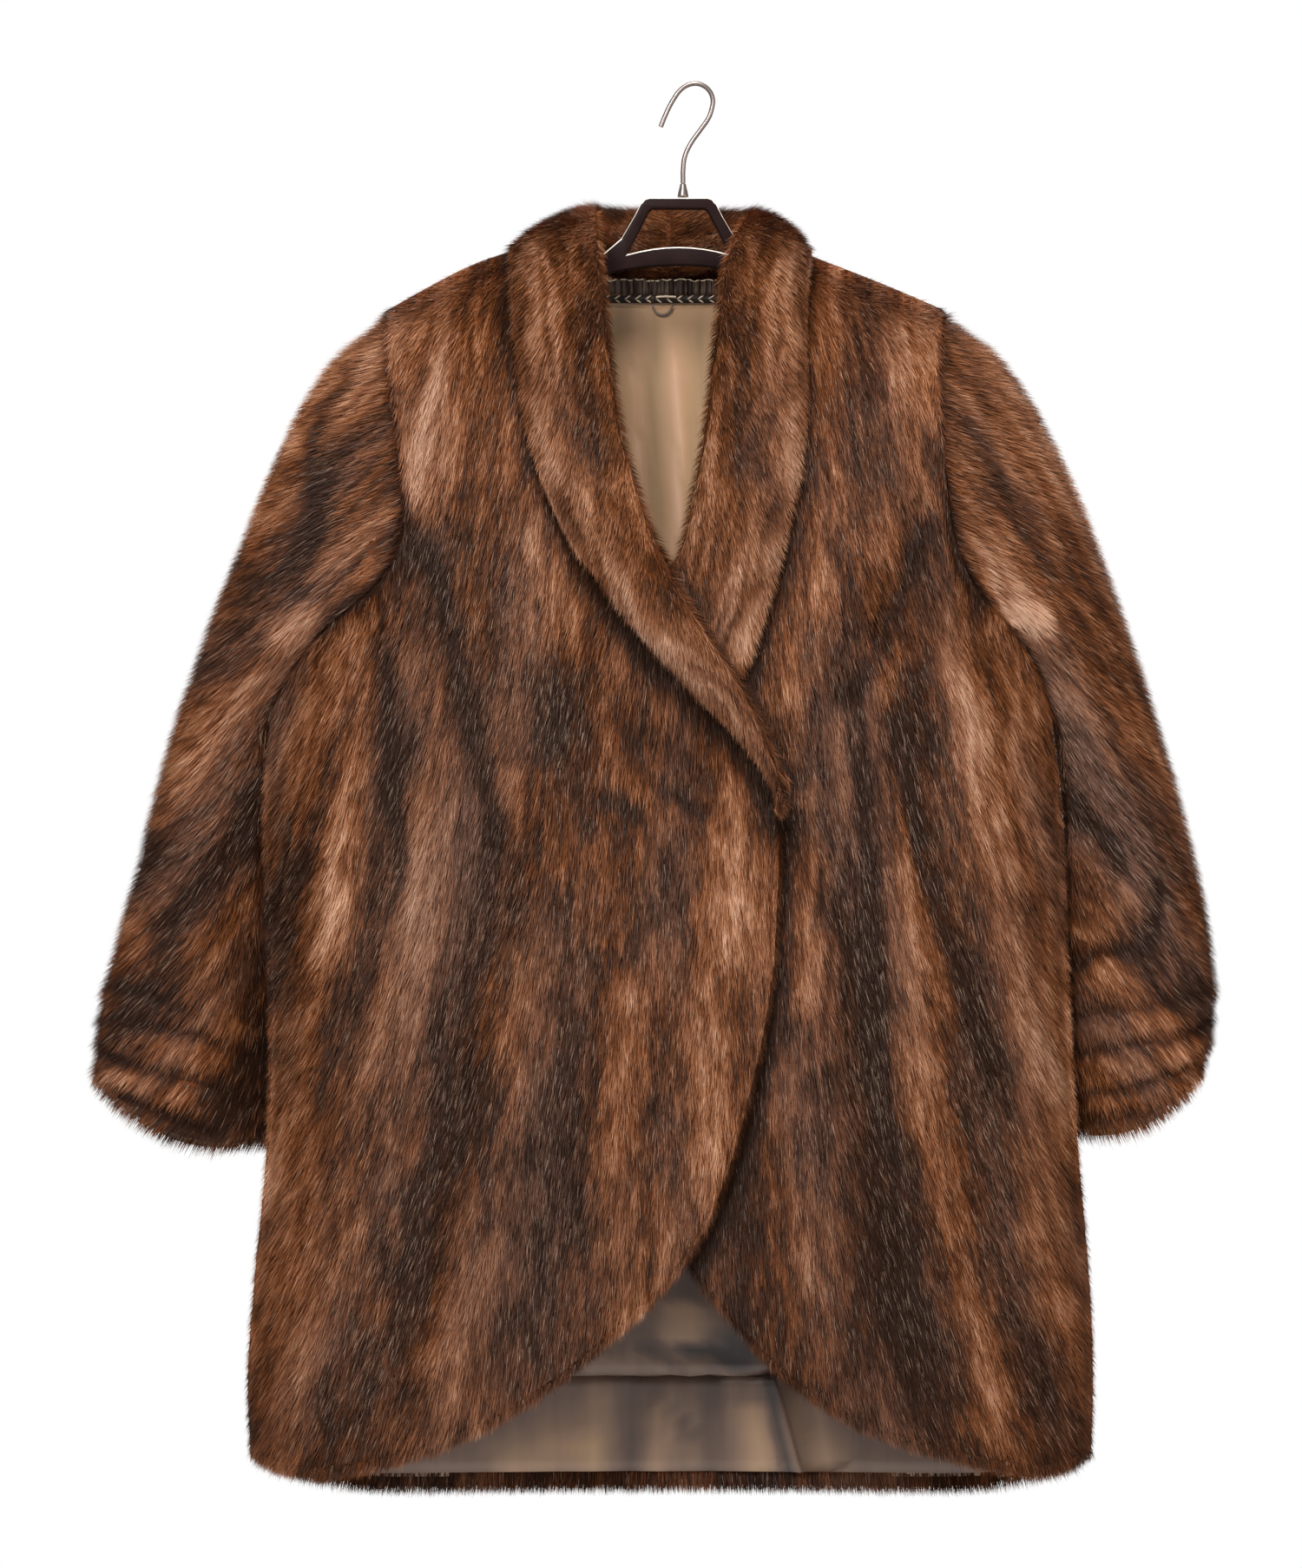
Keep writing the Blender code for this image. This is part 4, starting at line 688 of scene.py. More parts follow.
RELIEF = 0.0070  # metres that a band of tone 1 stands out, for light ridges stand over dark grooves
WAVER = ((7.0, 0.0050), (17.0, 0.0028), (41.0, 0.0014))  # waves for each metre and how far each throws a band
WAVER_WIDTH = 0.020  # narrower bands waver less
WAVER_STEP, WAVER_SHIFT = 0.37, 0.05  # each band and each wave starts elsewhere
BAND_FADE = 0.2  # share of a band's length over which it fades at either end


def step_up(value):
    t = np.clip(value, 0.0, 1.0)
    return t * t * (3 - 2 * t)


def wavered(run, number, width):
    """How far a band strays to a side along its run in metres."""
    off = 0.0
    for rate, size in WAVER:
        turns = rate * run + WAVER_STEP * number + WAVER_SHIFT * rate
        off += size * min(1.0, width / WAVER_WIDTH) * np.sin(2 * math.pi * turns)
    return off


def bands_at(points, table, relief=RELIEF):
    """Depth, tone, and grey guard hair with its painted sheen, of all bands at the points, as seen from the
    front.
    """
    total = np.zeros((3, len(points)))
    for number, row in enumerate(table):
        band = dict(zip(BAND_COLUMNS, row))
        start = np.array([band["x_top"], band["z_top"]])
        along = np.array([band["x_end"], band["z_end"]]) - start
        length = np.hypot(*along)
        along = along / length
        offset = points[:, [0, 2]] - start
        run = offset @ along / length
        off = offset @ np.array([-along[1], along[0]]) - band["bow"] * 4 * run * (1 - run)
        off += wavered(run * length, number, band["width"])
        fade = step_up((run + BAND_FADE / 2) / BAND_FADE) * step_up((1 + BAND_FADE / 2 - run) / BAND_FADE)
        strength = fade * np.exp(-((off / band["width"]) ** 2))
        total += np.outer([band["depth"] - relief * band["tone"], band["tone"], band["frost"]], strength)
    return total


print("bands:", {node: len(table) for node, table in BANDS.items()})

# %% [markdown]
# ## The way the hair lies
#
# Pelts are sewn so that the hair runs down the coat. On the body it runs down and a little outwards, on the
# sleeves it runs slantwise to the cuff, and on the collar it follows the roll from the back of the neck to
# the lapel. `lie_of_hair` gives that direction on each panel, and how far along and across the pelts a
# point is, which the finish uses for streaks.

# %% Direction of the hair
BODY_FLARE = 0.95  # slope of the lie for each metre off the middle
FLARE_FROM = 0.3  # metres below the hook where the pelts are as wide as they were cut
SLEEVE_SLANT = 0.55  # how far outwards the hair lies on a sleeve
SLEEVE_FALL = 0.3 + SLEEVE_SLANT  # slope of a sleeve's streaks: the sleeve's own and its hair's slant
STREAK_TURN = 0.55  # how far the streaks turn with the sleeve's roundness
COLLAR_OUTWARD = 0.45


def lie_of_hair(node, points, normals):
    """The lie of the hair at each point, and how far along and across the pelts the point is."""
    side = -1.0 if node.endswith("right") else 1.0
    if node in SLEEVE_LINES:
        run_dir = along_line(points, SLEEVE_LINES[node])[2]
        raw = normalised(run_dir + np.array([side * SLEEVE_SLANT, 0.0, 0.0]))
        down = normalised(np.array([[side * SLEEVE_FALL, 0.0, -1.0]]))[0]
        across_dir = np.array([-down[2], STREAK_TURN, down[0]])
        along, across = points @ down, points @ across_dir
    elif node in COLLAR_LINES:
        middle, along, run_dir = along_line(points, COLLAR_LINES[node])
        outward = np.cross(normals, run_dir) * side
        raw = run_dir + COLLAR_OUTWARD * outward
        across = ((points - middle) * outward).sum(1)
    else:
        off = points[:, 0] - BODY_MIDDLE
        raw = np.stack([BODY_FLARE * off, 0.0 * off, -np.ones(len(off))], axis=1)
        along = -points[:, 2]
        across = off * np.exp(-BODY_FLARE * (along - FLARE_FROM))
    raw = normalised(raw)
    lie = raw - normals * np.minimum((raw * normals).sum(1, keepdims=True), 0.0)
    return lie, along, across


# %% Shade and light on the panels
# Painted shade in the crevices beside other panels: beside which panels, over which reach, and how dark at
# the shoulder and lower down.
CREVICE_COLUMNS = ("node", "others", "reach", "high", "low")
CREVICES = (
    ("back", ("sleeve_right", "sleeve_left"), 0.006, -0.15, -0.50),
    ("back", ("collar_right", "collar_left"), 0.008, -0.50, -0.50),
    ("front_right", ("collar_right",), 0.012, -0.60, -0.70),
    ("front_right", ("sleeve_right",), 0.008, -0.20, -0.55),
    ("front_left", ("collar_left", "collar_right", "front_right"), 0.012, -0.60, -0.65),
    ("front_left", ("sleeve_left",), 0.008, -0.20, -0.55),
    ("sleeve_right", ("front_right", "back"), 0.009, -0.20, -0.60),
    ("sleeve_left", ("front_left", "back"), 0.009, -0.20, -0.60),
    ("collar_left", ("collar_right", "front_right"), 0.011, -0.10, -0.60),
)
CREVICE_REACHES = 3  # past so many reaches no shade is left
HIGH_UNTIL, LOW_FROM = -0.26, -0.36
EDGE_TONE = 0.04  # hair at a free edge catches the light
AXES = {"x": 0, "y": 1, "z": 2}
# Painted light and shade over wide areas: the start of the node's name, the axis along which the tone
# changes, where that starts and where it is full, and by how much. The tops of the collar, the left front
# and the left sleeve are painted lighter, as lit from above; the collar's inside behind the neck, the back's
# hem strip, the top of the right front and the lower sleeves and skirts are painted darker, in shade. The
# first row is for every panel: the skirt lies more in shade than the chest.
PAINTED_LIGHT_AND_SHADE = (
    ("", "z", -0.55, -0.90, -0.10),
    ("collar", "z", -0.60, -0.30, 0.05),
    ("collar", "z", -0.26, -0.14, 0.12),
    ("collar", "y", 0.012, 0.040, -0.30),
    ("back", "z", -1.020, -1.050, -0.16),
    ("front_left", "z", -0.26, -0.18, 0.12),
    ("front_left", "z", -0.60, -0.90, -0.08),
    ("front_right", "z", -0.26, -0.18, -0.06),
    ("sleeve_right", "z", -0.25, -0.40, -0.07),
    ("sleeve_right", "z", -0.60, -0.70, -0.08),
    ("sleeve_left", "z", -0.32, -0.22, 0.05),
    ("sleeve_left", "z", -0.60, -0.70, -0.10),
)


# %% Painted shade and light from the panel's place
def distance_to(others, points, reach):
    """How far the points are from some panels, or the reach where they are further."""
    tree = tree_of(*others)
    return np.array([tree.find_nearest(Vector(p), reach)[3] or reach for p in points])


def crevice_shade(node, points):
    """How much painted shade darkens the hair in the crevice beside another panel."""
    tone = np.zeros(len(points))
    low = step_up((HIGH_UNTIL - points[:, 2]) / (HIGH_UNTIL - LOW_FROM))
    for row in CREVICES:
        crevice = dict(zip(CREVICE_COLUMNS, row))
        if crevice["node"] == node:
            away = distance_to(crevice["others"], points, CREVICE_REACHES * crevice["reach"])
            most = crevice["high"] + (crevice["low"] - crevice["high"]) * low
            tone += most * np.exp(-((away / crevice["reach"]) ** 2))
    return tone


def shaded(node, points, on_rim, tone):
    """The tone of the bands with the shade and light of the panel's place."""
    tone = tone + (crevice_shade(node, points) + EDGE_TONE * on_rim)
    for kind, axis, start, full, change in PAINTED_LIGHT_AND_SHADE:
        if node.startswith(kind):
            tone += change * step_up((points[:, AXES[axis]] - start) / (full - start))
    return tone


# %% Panels moved up to each other
SEAM_NEAR, SEAM_FAR = 0.0065, 0.0150  # the pile is level with the next panel nearer than the first distance
SEAM_PILE = 0.10  # share of the pile's depth that is left right at a seam
SEAM_HAIR = 0.60  # share of the hair's height there
CLOSE_NEAR, CLOSE_FAR = 0.0095, 0.0165  # nearer than the first distance a panel moves up to the next
SEAM_CLOSE = 0.52  # share of the gap that each of the two panels closes
SEWN_TO = {
    "back": ("front_right", "front_left", "sleeve_right", "sleeve_left"),
    "front_right": ("back", "sleeve_right"),
    "front_left": ("back", "sleeve_left"),
    "sleeve_right": ("front_right", "back"),
    "sleeve_left": ("front_left", "back"),
    "collar_right": ("collar_left",),
    "collar_left": ("collar_right",),
}
# Where the sleeve hangs beside the body, each bulges a little to the other: from and to which x, around which
# height, over which reach, and by how much along x.
NUDGES = (
    ("sleeve_right", -0.350, -0.328, -0.500, 0.060, 0.0024),
    ("front_right", -0.290, -0.310, -0.500, 0.060, -0.0018),
    ("back", -0.290, -0.310, -0.500, 0.060, -0.0018),
)


def towards_seam(node, points):
    """Moves that close the gaps to the panels beside, and how far each point is from a seam, from 0 to 1."""
    tree = tree_of(*SEWN_TO[node])
    moves = np.zeros((len(points), 3))
    away = np.full(len(points), CLOSE_FAR)
    for number, point in enumerate(points):
        place, _, _, distance = tree.find_nearest(Vector(point), CLOSE_FAR)
        if place:
            moves[number] = np.array(place) - point
            away[number] = distance
    seam = step_up((away - SEAM_NEAR) / (SEAM_FAR - SEAM_NEAR))
    closing = 1.0 - step_up((away - CLOSE_NEAR) / (CLOSE_FAR - CLOSE_NEAR))
    return moves * SEAM_CLOSE * closing[:, None], seam


def nudged(node, points):
    """How far the points move aside where a sleeve hangs close to the body."""
    moves = np.zeros((len(points), 3))
    for name, start, full, height, reach, move in NUDGES:
        if node == name:
            share = step_up((points[:, 0] - start) / (full - start))
            moves[:, 0] += move * share * np.exp(-(((points[:, 2] - height) / reach) ** 2))
    return moves


# %% Walls and cuffs
WALL_LEFT = 0.0014  # what is left of a wall at least, where its leather is drawn in
WALL_REACH = 0.020  # no wall is thicker than this
WALL_LOOK = 0.0004  # a look through the wall starts this far below its face
CUFF_SOFTENING = 14  # rounds of smoothing
CUFF_SHARE = 0.5  # of the way to its neighbours that a vertex goes in each round


def wall_under(node, mesh, points, normals):
    """How thick the panel's wall is under each point, also past the steps of a cuff's tucks."""
    tree = tree_over(mesh)
    outwards = from_inside(node, points)
    thick = []
    for point, normal, outward in zip(points, normals, outwards):
        ways = (normal, outward) if node in SLEEVE_LINES and point[2] < CUFF_TOP else (normal,)
        starts = [Vector(point) - Vector(way) * WALL_LOOK for way in ways]
        found = [tree.ray_cast(start, -Vector(way), WALL_REACH)[3] for start, way in zip(starts, ways)]
        thick.append(max(distance or WALL_REACH for distance in found))
    return np.array(thick)


def soften_below(mesh, height):
    """Rounds the sharp steps of the tucks below a height."""
    axes = {"use_axis_x": True, "use_axis_y": True, "use_axis_z": True}
    with opened(mesh) as bm:
        low = [vertex for vertex in bm.verts if vertex.co.z < height]
        for _ in range(CUFF_SOFTENING):
            bmesh.ops.smooth_vert(bm, verts=low, factor=CUFF_SHARE, **axes)


# %% Marks for the hair
COVERED_BY = {
    "back": ("collar_right", "collar_left", "hem_band"),
    "front_right": ("collar_right",),
    "front_left": ("collar_left", "collar_right", "front_right"),
    "collar_left": ("front_right",),
}
HAIR_ROOM = 0.0035  # hair grows only where nothing lies this close above the skin
RIM_DENSITY = 2.6  # hairs are short on a rim, so they stand closer
TURNED_IN_PILE = 0.3  # share of the pile's depth where the fur turns up inside the hem
HAIR_REACH = 1.15  # how far hairs may stand over the pile's depth
RIM_REACH = 1.85  # hairs at a free edge reach past it


def add_attribute(mesh, name, values, kind="FLOAT"):
    attribute = mesh.attributes.get(name) or mesh.attributes.new(name, kind, "POINT")
    field = "vector" if kind == "FLOAT_VECTOR" else "value"
    attribute.data.foreach_set(field, np.asarray(values, np.float32).ravel())


def covered(node, points, normals):
    """Which points lie so close under another panel that no hair grows there."""
    if node not in COVERED_BY:
        return np.zeros(len(points), bool)
    over = tree_of(*COVERED_BY[node])
    return np.array([near(over, p, n, HAIR_ROOM) for p, n in zip(points, normals)])


def hair_reach(pile, lie, normals, lift):
    """How long a hair may be so that it stands no higher than the pile."""
    rise = np.maximum((lie * normals).sum(1), 0.0) + lift
    return HAIR_REACH * pile * np.linalg.norm(lie + normals * lift, axis=1) / rise


# %% Making a skin
def make_skin(node, length, lift):
    """The leather of a panel: drawn in by its pile, creased, and marked for its hair and its finish."""
    obj = rounded_copy(node, node + "_skin")
    mesh = obj.data
    refine(mesh, face_kinds(node, mesh)[0])
    if node in SLEEVE_LINES:
        soften_below(mesh, CUFF_TOP)
    hairy, rims, inner = face_kinds(node, mesh)
    points = read(mesh.vertices, "co", 3)
    normals, on_face = vertex_normals(mesh, hairy)
    on_rim = vertex_normals(mesh, rims)[1]
    turned_in = on_rim & ((normals * from_inside(node, points)).sum(1) < -RIM_SHARE)
    depth, tone, frost = bands_at(points, BANDS[node])
    lie, along, across = lie_of_hair(node, points, normals)
    closing, seam = towards_seam(node, points)
    pile = PILE[node.split("_")[0]]

    deepest = np.maximum(wall_under(node, mesh, points, normals) - WALL_LEFT, 0.0)
    draw = np.minimum(pile + depth * ~on_rim, deepest) * on_face * np.where(turned_in, TURNED_IN_PILE, 1.0)
    draw *= SEAM_PILE + (1.0 - SEAM_PILE) * seam
    placed = points - normals * draw[:, None] + closing + nudged(node, points)
    mesh.vertices.foreach_set("co", placed.ravel())

    grows = on_face & ~covered(node, points, normals)
    reach = hair_reach(pile, lie, normals, lift)
    reach *= (SEAM_HAIR + (1.0 - SEAM_HAIR) * seam) * np.where(on_rim & ~turned_in, RIM_REACH, 1.0)
    marks = {
        "growth": grows * np.where(on_rim, RIM_DENSITY, 1.0),
        "reach": np.minimum(reach / length, 1.0),
        "tone": shaded(node, points, on_rim, tone),
        "frost": frost,
        "along": along,
        "across": across,
    }
    for name, values in marks.items():
        add_attribute(mesh, name, values)
    add_attribute(mesh, "lie", lie, "FLOAT_VECTOR")
    mesh.materials.append(skin_paint.material)
    mesh.materials.append(satin_paint.material)
    mesh.polygons.foreach_set("material_index", inner.astype(np.int32))
    mesh.update()
    smooth(mesh)
    print(f"{obj.name}: {len(mesh.polygons)} faces, hair on {np.mean(grows):.0%} of the points")
    return obj


# %% [markdown]
# ## The colour of fur
#
# A hair is dark at its root and turns lighter, and a pelt is streaked along the way its hair lies. So the
# colour is a ramp from near black over mahogany to tan, read at a level that sums what is known about a
# place: the tone of its band with the painted light and shade of its place, noise that is drawn out along
# the lie, a share of chance for each hair, and how near its tip it is. Grey guard hair with a painted sheen
# shines over some bands, and a share of hairs is painted pale as glints. Skin and hair share one recipe, and
# the skin under the pile is darker.

# %% Tones and colours of the fur
MEAN_TONE = 0.415
SKIN_TONE = -0.06  # the skin under the pile is darker
SHADE_SPREAD, TIP_SPREAD = 0.40, 0.20  # how much the tone differs from hair to hair, and from root to tip
TIP_MIDDLE = 0.6
FUR_STOPS = (
    (0.00, (0.028, 0.011, 0.005)),
    (0.24, (0.080, 0.025, 0.008)),
    (0.47, (0.205, 0.063, 0.017)),
    (0.70, (0.400, 0.172, 0.082)),
    (1.00, (0.680, 0.400, 0.255)),
)
# Grey of the guard hair together with its painted sheen.
GREY_SHEEN = (0.172, 0.112, 0.092, 1.0)
# Pale colour of the painted glints: highlights painted on single hairs.
GLINT = (0.500, 0.340, 0.245, 1.0)
ROOT_COLOUR = (0.66, 0.55, 0.48, 1.0)
STREAKS = {  # across the pelts, for each metre, and how much they change the tone
    "broad": (12.0, 1.05),
    "pelt": (45.0, 1.15),
    "fine": (210.0, 1.00),
}
PELT_PATCHES, FINE_PATCHES = 1.2, 0.5  # how much the streaks break up the bands
STREAK_DRAW = 0.16  # how far streaks are drawn out along the lie
VEIL_STREAKS = 19.0  # for each metre
VEIL_FROM, VEIL_GAIN = 0.47, 3.2  # the noise's value where grey starts, and how fast it comes in
VEIL_FROST_SHEEN = 0.8  # how much a band's grey guard hair and its painted sheen add to the grey
VEIL_SHARE = 0.46  # how grey the guard hair and its painted sheen can turn the fur
VEIL_LIGHT = 2.8  # dark folds stay dark: the grey comes in as the tone rises
GLINT_SHARE, GLINT_FROST_SHEEN = 0.05, 0.14  # share of hairs with a painted glint anywhere, and more where the band's grey guard hair is 1
GLINT_EDGE, GLINT_STRENGTH = 20.0, 0.42  # how sharply hairs are chosen, and how pale the painted glint turns them


# %% The fur's finish
def fur_colour(paint, offset):
    """The fur's colour with a change of tone, and the noise of its fine streaks."""
    drawn = {"X": paint.attribute("across"), "Y": paint.attribute("along") * STREAK_DRAW}
    place = paint.node("ShaderNodeCombineXYZ", {}, drawn)
    noises = {name: paint.noise(place, rate) for name, (rate, _) in STREAKS.items()}
    level = offset + MEAN_TONE
    for name, (_, share) in STREAKS.items():
        level = (noises[name] - 0.5) * share + level
    patches = noises["pelt"] * PELT_PATCHES + noises["fine"] * FINE_PATCHES
    level = paint.attribute("tone") * patches + level
    # Grey guard hair with a painted sheen: a streaky noise and the band's grey hair, strongest where the tone
    # is light.
    veil = (paint.noise(place, VEIL_STREAKS) - VEIL_FROM) * VEIL_GAIN + paint.attribute("frost") * VEIL_FROST_SHEEN
    veil = paint.clamped(veil) * paint.clamped(level * VEIL_LIGHT) * VEIL_SHARE
    return paint.mix(paint.ramp(level, FUR_STOPS), GREY_SHEEN, veil), noises["fine"]


skin_paint = Paint("fur undercoat", Roughness=0.85, Specular_IOR_Level=0.10)
colour, fine = fur_colour(skin_paint, SKIN_TONE)
skin_paint.feed("Base Color", skin_paint.mix(colour, ROOT_COLOUR, 1.0, "MULTIPLY"))
skin_paint.bump(fine, strength=0.6, distance=0.002)

HAIR_SHINE = {"Roughness": 0.40, "Sheen_Weight": 0.02, "Sheen_Roughness": 0.4, "Specular_IOR_Level": 0.09}
hair_paint = Paint("fur hair", **HAIR_SHINE)
shade = hair_paint.attribute("shade")
tip = hair_paint.attribute("tip")
colour, _ = fur_colour(hair_paint, (shade - 0.5) * SHADE_SPREAD + (tip - TIP_MIDDLE) * TIP_SPREAD)
# Painted glints: a share of hairs is painted pale, as highlights on single hairs, more where the grey guard
# hair is.
glint = (shade + hair_paint.attribute("frost") * GLINT_FROST_SHEEN + (GLINT_SHARE - 1.0)) * GLINT_EDGE
glint = hair_paint.clamped(glint) * GLINT_STRENGTH
hair_paint.feed("Base Color", hair_paint.mix(colour, GLINT, glint))
print("nodes in the hair's finish:", len(hair_paint.tree.nodes))

# %% The satin's finish
SATIN_STOPS = (
    (0.00, (0.034, 0.024, 0.020)),
    (0.20, (0.118, 0.071, 0.051)),
    (0.40, (0.262, 0.160, 0.099)),
    (0.60, (0.400, 0.250, 0.132)),
    (0.80, (0.530, 0.314, 0.178)),
    (1.00, (0.720, 0.450, 0.300)),
)
SATIN_TONE, SATIN_STREAKS = 0.715, 0.16  # the mean tone, and how much its streaks change it
WEAVE = 1400.0  # threads for each metre

SATIN_SHINE = {"Roughness": 0.40, "Sheen_Weight": 0.25, "Sheen_Roughness": 0.35, "Specular_IOR_Level": 0.5}
satin_paint = Paint("taupe satin", **SATIN_SHINE)
streaks = satin_paint.noise(satin_paint.place((60.0, 60.0, 9.0)), 1.0, detail=3.0)
satin_level = satin_paint.attribute("tone") + (streaks - 0.5) * SATIN_STREAKS + SATIN_TONE
satin_paint.feed("Base Color", satin_paint.ramp(satin_level, SATIN_STOPS))
threads = satin_paint.noise(satin_paint.place((1.0, 1.0, 0.25)), WEAVE)
satin_paint.bump(threads, strength=0.10, distance=0.0003)

# %% [markdown]
# ## Hair
#
# Mink is short and dense: a hair stands about 6 mm high but is more than twice as long, because it lies
# over. Each hair here is one slim triangle. A Geometry Nodes tree strews them over the skin, thicker where
# `growth` is 1 and none where it is 0, turns each along the lie and a little up, and gives each its own
# share of chance. Realized and joined they are one mesh for each panel.

# %% One hair
blade_mesh = bpy.data.meshes.new("hair blade")
blade_mesh.from_pydata([(-0.5, 0.0, 0.0), (0.5, 0.0, 0.0), (0.0, 1.0, 0.0)], [], [(0, 1, 2)])
add_attribute(blade_mesh, "tip", [0.0, 0.0, 1.0])
blade = link("hair_blade", blade_mesh)

# %% Inputs and chances of the hair
HAIR_SOCKETS = (
    ("Skin", "NodeSocketGeometry"),
    ("Hairs per square metre", "NodeSocketFloat"),
    ("Length", "NodeSocketFloat"),
    ("Width", "NodeSocketFloat"),
    ("Lift", "NodeSocketFloat"),
    ("Ruffle", "NodeSocketFloat"),
    ("Tuft", "NodeSocketFloat"),
    ("Seed", "NodeSocketInt"),
    ("Blade", "NodeSocketObject"),
    ("Finish", "NodeSocketMaterial"),
)
TUFT_SCALE = 70.0
LENGTH_SPREAD = (0.65, 1.20)
WIDTH_SPREAD = (0.70, 1.30)
ROLL = 0.30


# %% How a tree starts and ends
def new_tree(name, sockets):
    """An empty tree of Geometry Nodes with named inputs: its graph and its input node."""
    tree = bpy.data.node_groups.new(name, "GeometryNodeTree")
    for label, kind in sockets:
        tree.interface.new_socket(label, in_out="INPUT", socket_type=kind)
    tree.interface.new_socket("Mesh", in_out="OUTPUT", socket_type="NodeSocketGeometry")
    graph = Graph(tree)
    return graph, graph.node("NodeGroupInput")


def named(graph, name, kind="FLOAT"):
    return graph.node("GeometryNodeInputNamedAttribute", {"data_type": kind}, {"Name": name})


def end_tree(graph, given, points, shape, turn, size):
    """Puts a shape on each point, makes it real, gives it its finish and ends the tree."""
    values = {"Points": points, "Instance": shape, "Rotation": turn, "Scale": size}
    laid = graph.node("GeometryNodeInstanceOnPoints", {}, values)
    real = graph.node("GeometryNodeRealizeInstances", {}, {"Geometry": laid})
    finish = {"Geometry": real, "Material": given.other("Finish")}
    graph.node("NodeGroupOutput", {}, {"Mesh": graph.node("GeometryNodeSetMaterial", {}, finish)})


# %% The tree that grows hair
def hair_tree():
    """The tree that strews blades over a skin, turns them by its marks and sizes them."""
    graph, given = new_tree("hair", HAIR_SOCKETS)
    seed = given.other("Seed")
    ones = (1.0, 1.0, 1.0)

    def chance(low, high, number):
        values = {2: low, 3: high, "Seed": seed + number}
        return graph.node("FunctionNodeRandomValue", {"data_type": "FLOAT"}, values, 1)

    def random_way(number):
        values = {0: tuple(-c for c in ones), 1: ones, "Seed": seed + number}
        return graph.node("FunctionNodeRandomValue", {"data_type": "FLOAT_VECTOR"}, values)

    density = given.other("Hairs per square metre") * named(graph, "growth")
    values = {"Mesh": given, "Density": density, "Seed": seed}
    strewn = graph.node("GeometryNodeDistributePointsOnFaces", {"distribute_method": "RANDOM"}, values)
    normal = strewn.other("Normal")
    values = {"Geometry": strewn, "Name": "shade", "Value": chance(0.0, 1.0, 1)}
    marked = graph.node("GeometryNodeStoreNamedAttribute", {"data_type": "FLOAT", "domain": "POINT"}, values)

    place = graph.node("GeometryNodeInputPosition")
    noise = graph.node("ShaderNodeTexNoise", {}, {"Vector": place, "Scale": TUFT_SCALE, "Detail": 1.0})
    tufts = noise.other("Color").plus((-0.5, -0.5, -0.5)).times(given.other("Tuft"))
    lean = named(graph, "lie", "FLOAT_VECTOR").plus(normal.times(given.other("Lift")))
    lean = lean.plus(random_way(2).times(given.other("Ruffle"))).plus(tufts)
    axes = {"Primary Axis": lean, "Secondary Axis": normal.plus(random_way(3).times(ROLL))}
    turn = graph.node("FunctionNodeAxesToRotation", {"primary_axis": "Y", "secondary_axis": "Z"}, axes)

    width = given.other("Width") * chance(*WIDTH_SPREAD, 4)
    length = given.other("Length") * named(graph, "reach") * chance(*LENGTH_SPREAD, 5)
    size = graph.node("ShaderNodeCombineXYZ", {}, {"X": width, "Y": length, "Z": 1.0})
    shape = graph.node("GeometryNodeObjectInfo", {}, {"Object": given.other("Blade")}).other("Geometry")
    end_tree(graph, given, marked, shape, turn, size)
    return graph.tree


# %% Running a tree on an object
def run_tree(obj, tree, values):
    """The mesh that a tree makes of an object, with its inputs set by the sockets' identifiers."""
    modifier = obj.modifiers.new(tree.name, "NODES")
    modifier.node_group = tree
    for item in tree.interface.items_tree:
        if item.in_out == "INPUT" and item.name in values:
            modifier[item.identifier] = values[item.name]
    mesh = evaluated_mesh(obj)
    obj.modifiers.remove(modifier)
    return mesh


# %% Hairs of each panel
HAIR_COLUMNS = ("node", "hairs", "length", "width", "lift")
HAIRS = (
    ("back", 150_000, 0.0122, 0.00058, 0.44),
    ("front_right", 170_000, 0.0115, 0.00054, 0.44),
    ("front_left", 132_000, 0.0115, 0.00054, 0.44),
    ("sleeve_right", 106_000, 0.0118, 0.00056, 0.44),
    ("sleeve_left", 104_000, 0.0118, 0.00056, 0.44),
    ("collar_right", 56_000, 0.0108, 0.00054, 0.55),
    ("collar_left", 46_000, 0.0108, 0.00054, 0.55),
)
RUFFLE = 0.13
TUFT = 0.30
CELLS = 341  # cells along each side of the map in which each hair gets a cell
CELL_CORNERS = np.array([(0.12, 0.12), (0.88, 0.12), (0.50, 0.88)])


def grown_area(mesh):
    """Square metres that carry hair."""
    growth = read(mesh.attributes["growth"].data, "value")
    owner, vertex, totals = corner_owners(mesh)
    mean = np.bincount(owner, growth[vertex]) / totals
    return float((mean * read(mesh.polygons, "area")).sum())


def map_cells(mesh):
    """Gives each hair a cell of its own in the map, or a few neighbours one cell together."""
    count = len(mesh.polygons)
    cell = np.arange(count) * min(CELLS * CELLS, count) // count
    corner = np.stack([cell % CELLS, cell // CELLS], axis=1)[:, None, :] + CELL_CORNERS[None]
    layer = mesh.uv_layers.new(name="OFBake")
    layer.data.foreach_set("uv", (corner / CELLS).astype(np.float32).ravel())


def grow_hair(skin, row, seed):
    """The hair of a panel as one mesh, from its row of the table."""
    area = grown_area(skin.data)
    values = {label: row[label.lower()] for label in ("Length", "Width", "Lift")}
    values |= {"Hairs per square metre": row["hairs"] / area, "Ruffle": RUFFLE, "Tuft": TUFT}
    values |= {"Seed": seed, "Blade": blade, "Finish": hair_paint.material}
    mesh = run_tree(skin, growing, values)
    mesh.name = row["node"] + "_hair"
    for name in ("growth", "reach", "lie"):
        mesh.attributes.remove(mesh.attributes[name])
    map_cells(mesh)
    print(f"{mesh.name}: {len(mesh.polygons)} hairs on {area:.3f} square metres")
    return link(mesh.name, mesh)


# %% All fur panels
SEED_STEP = 10  # the tree uses six seeds in a row

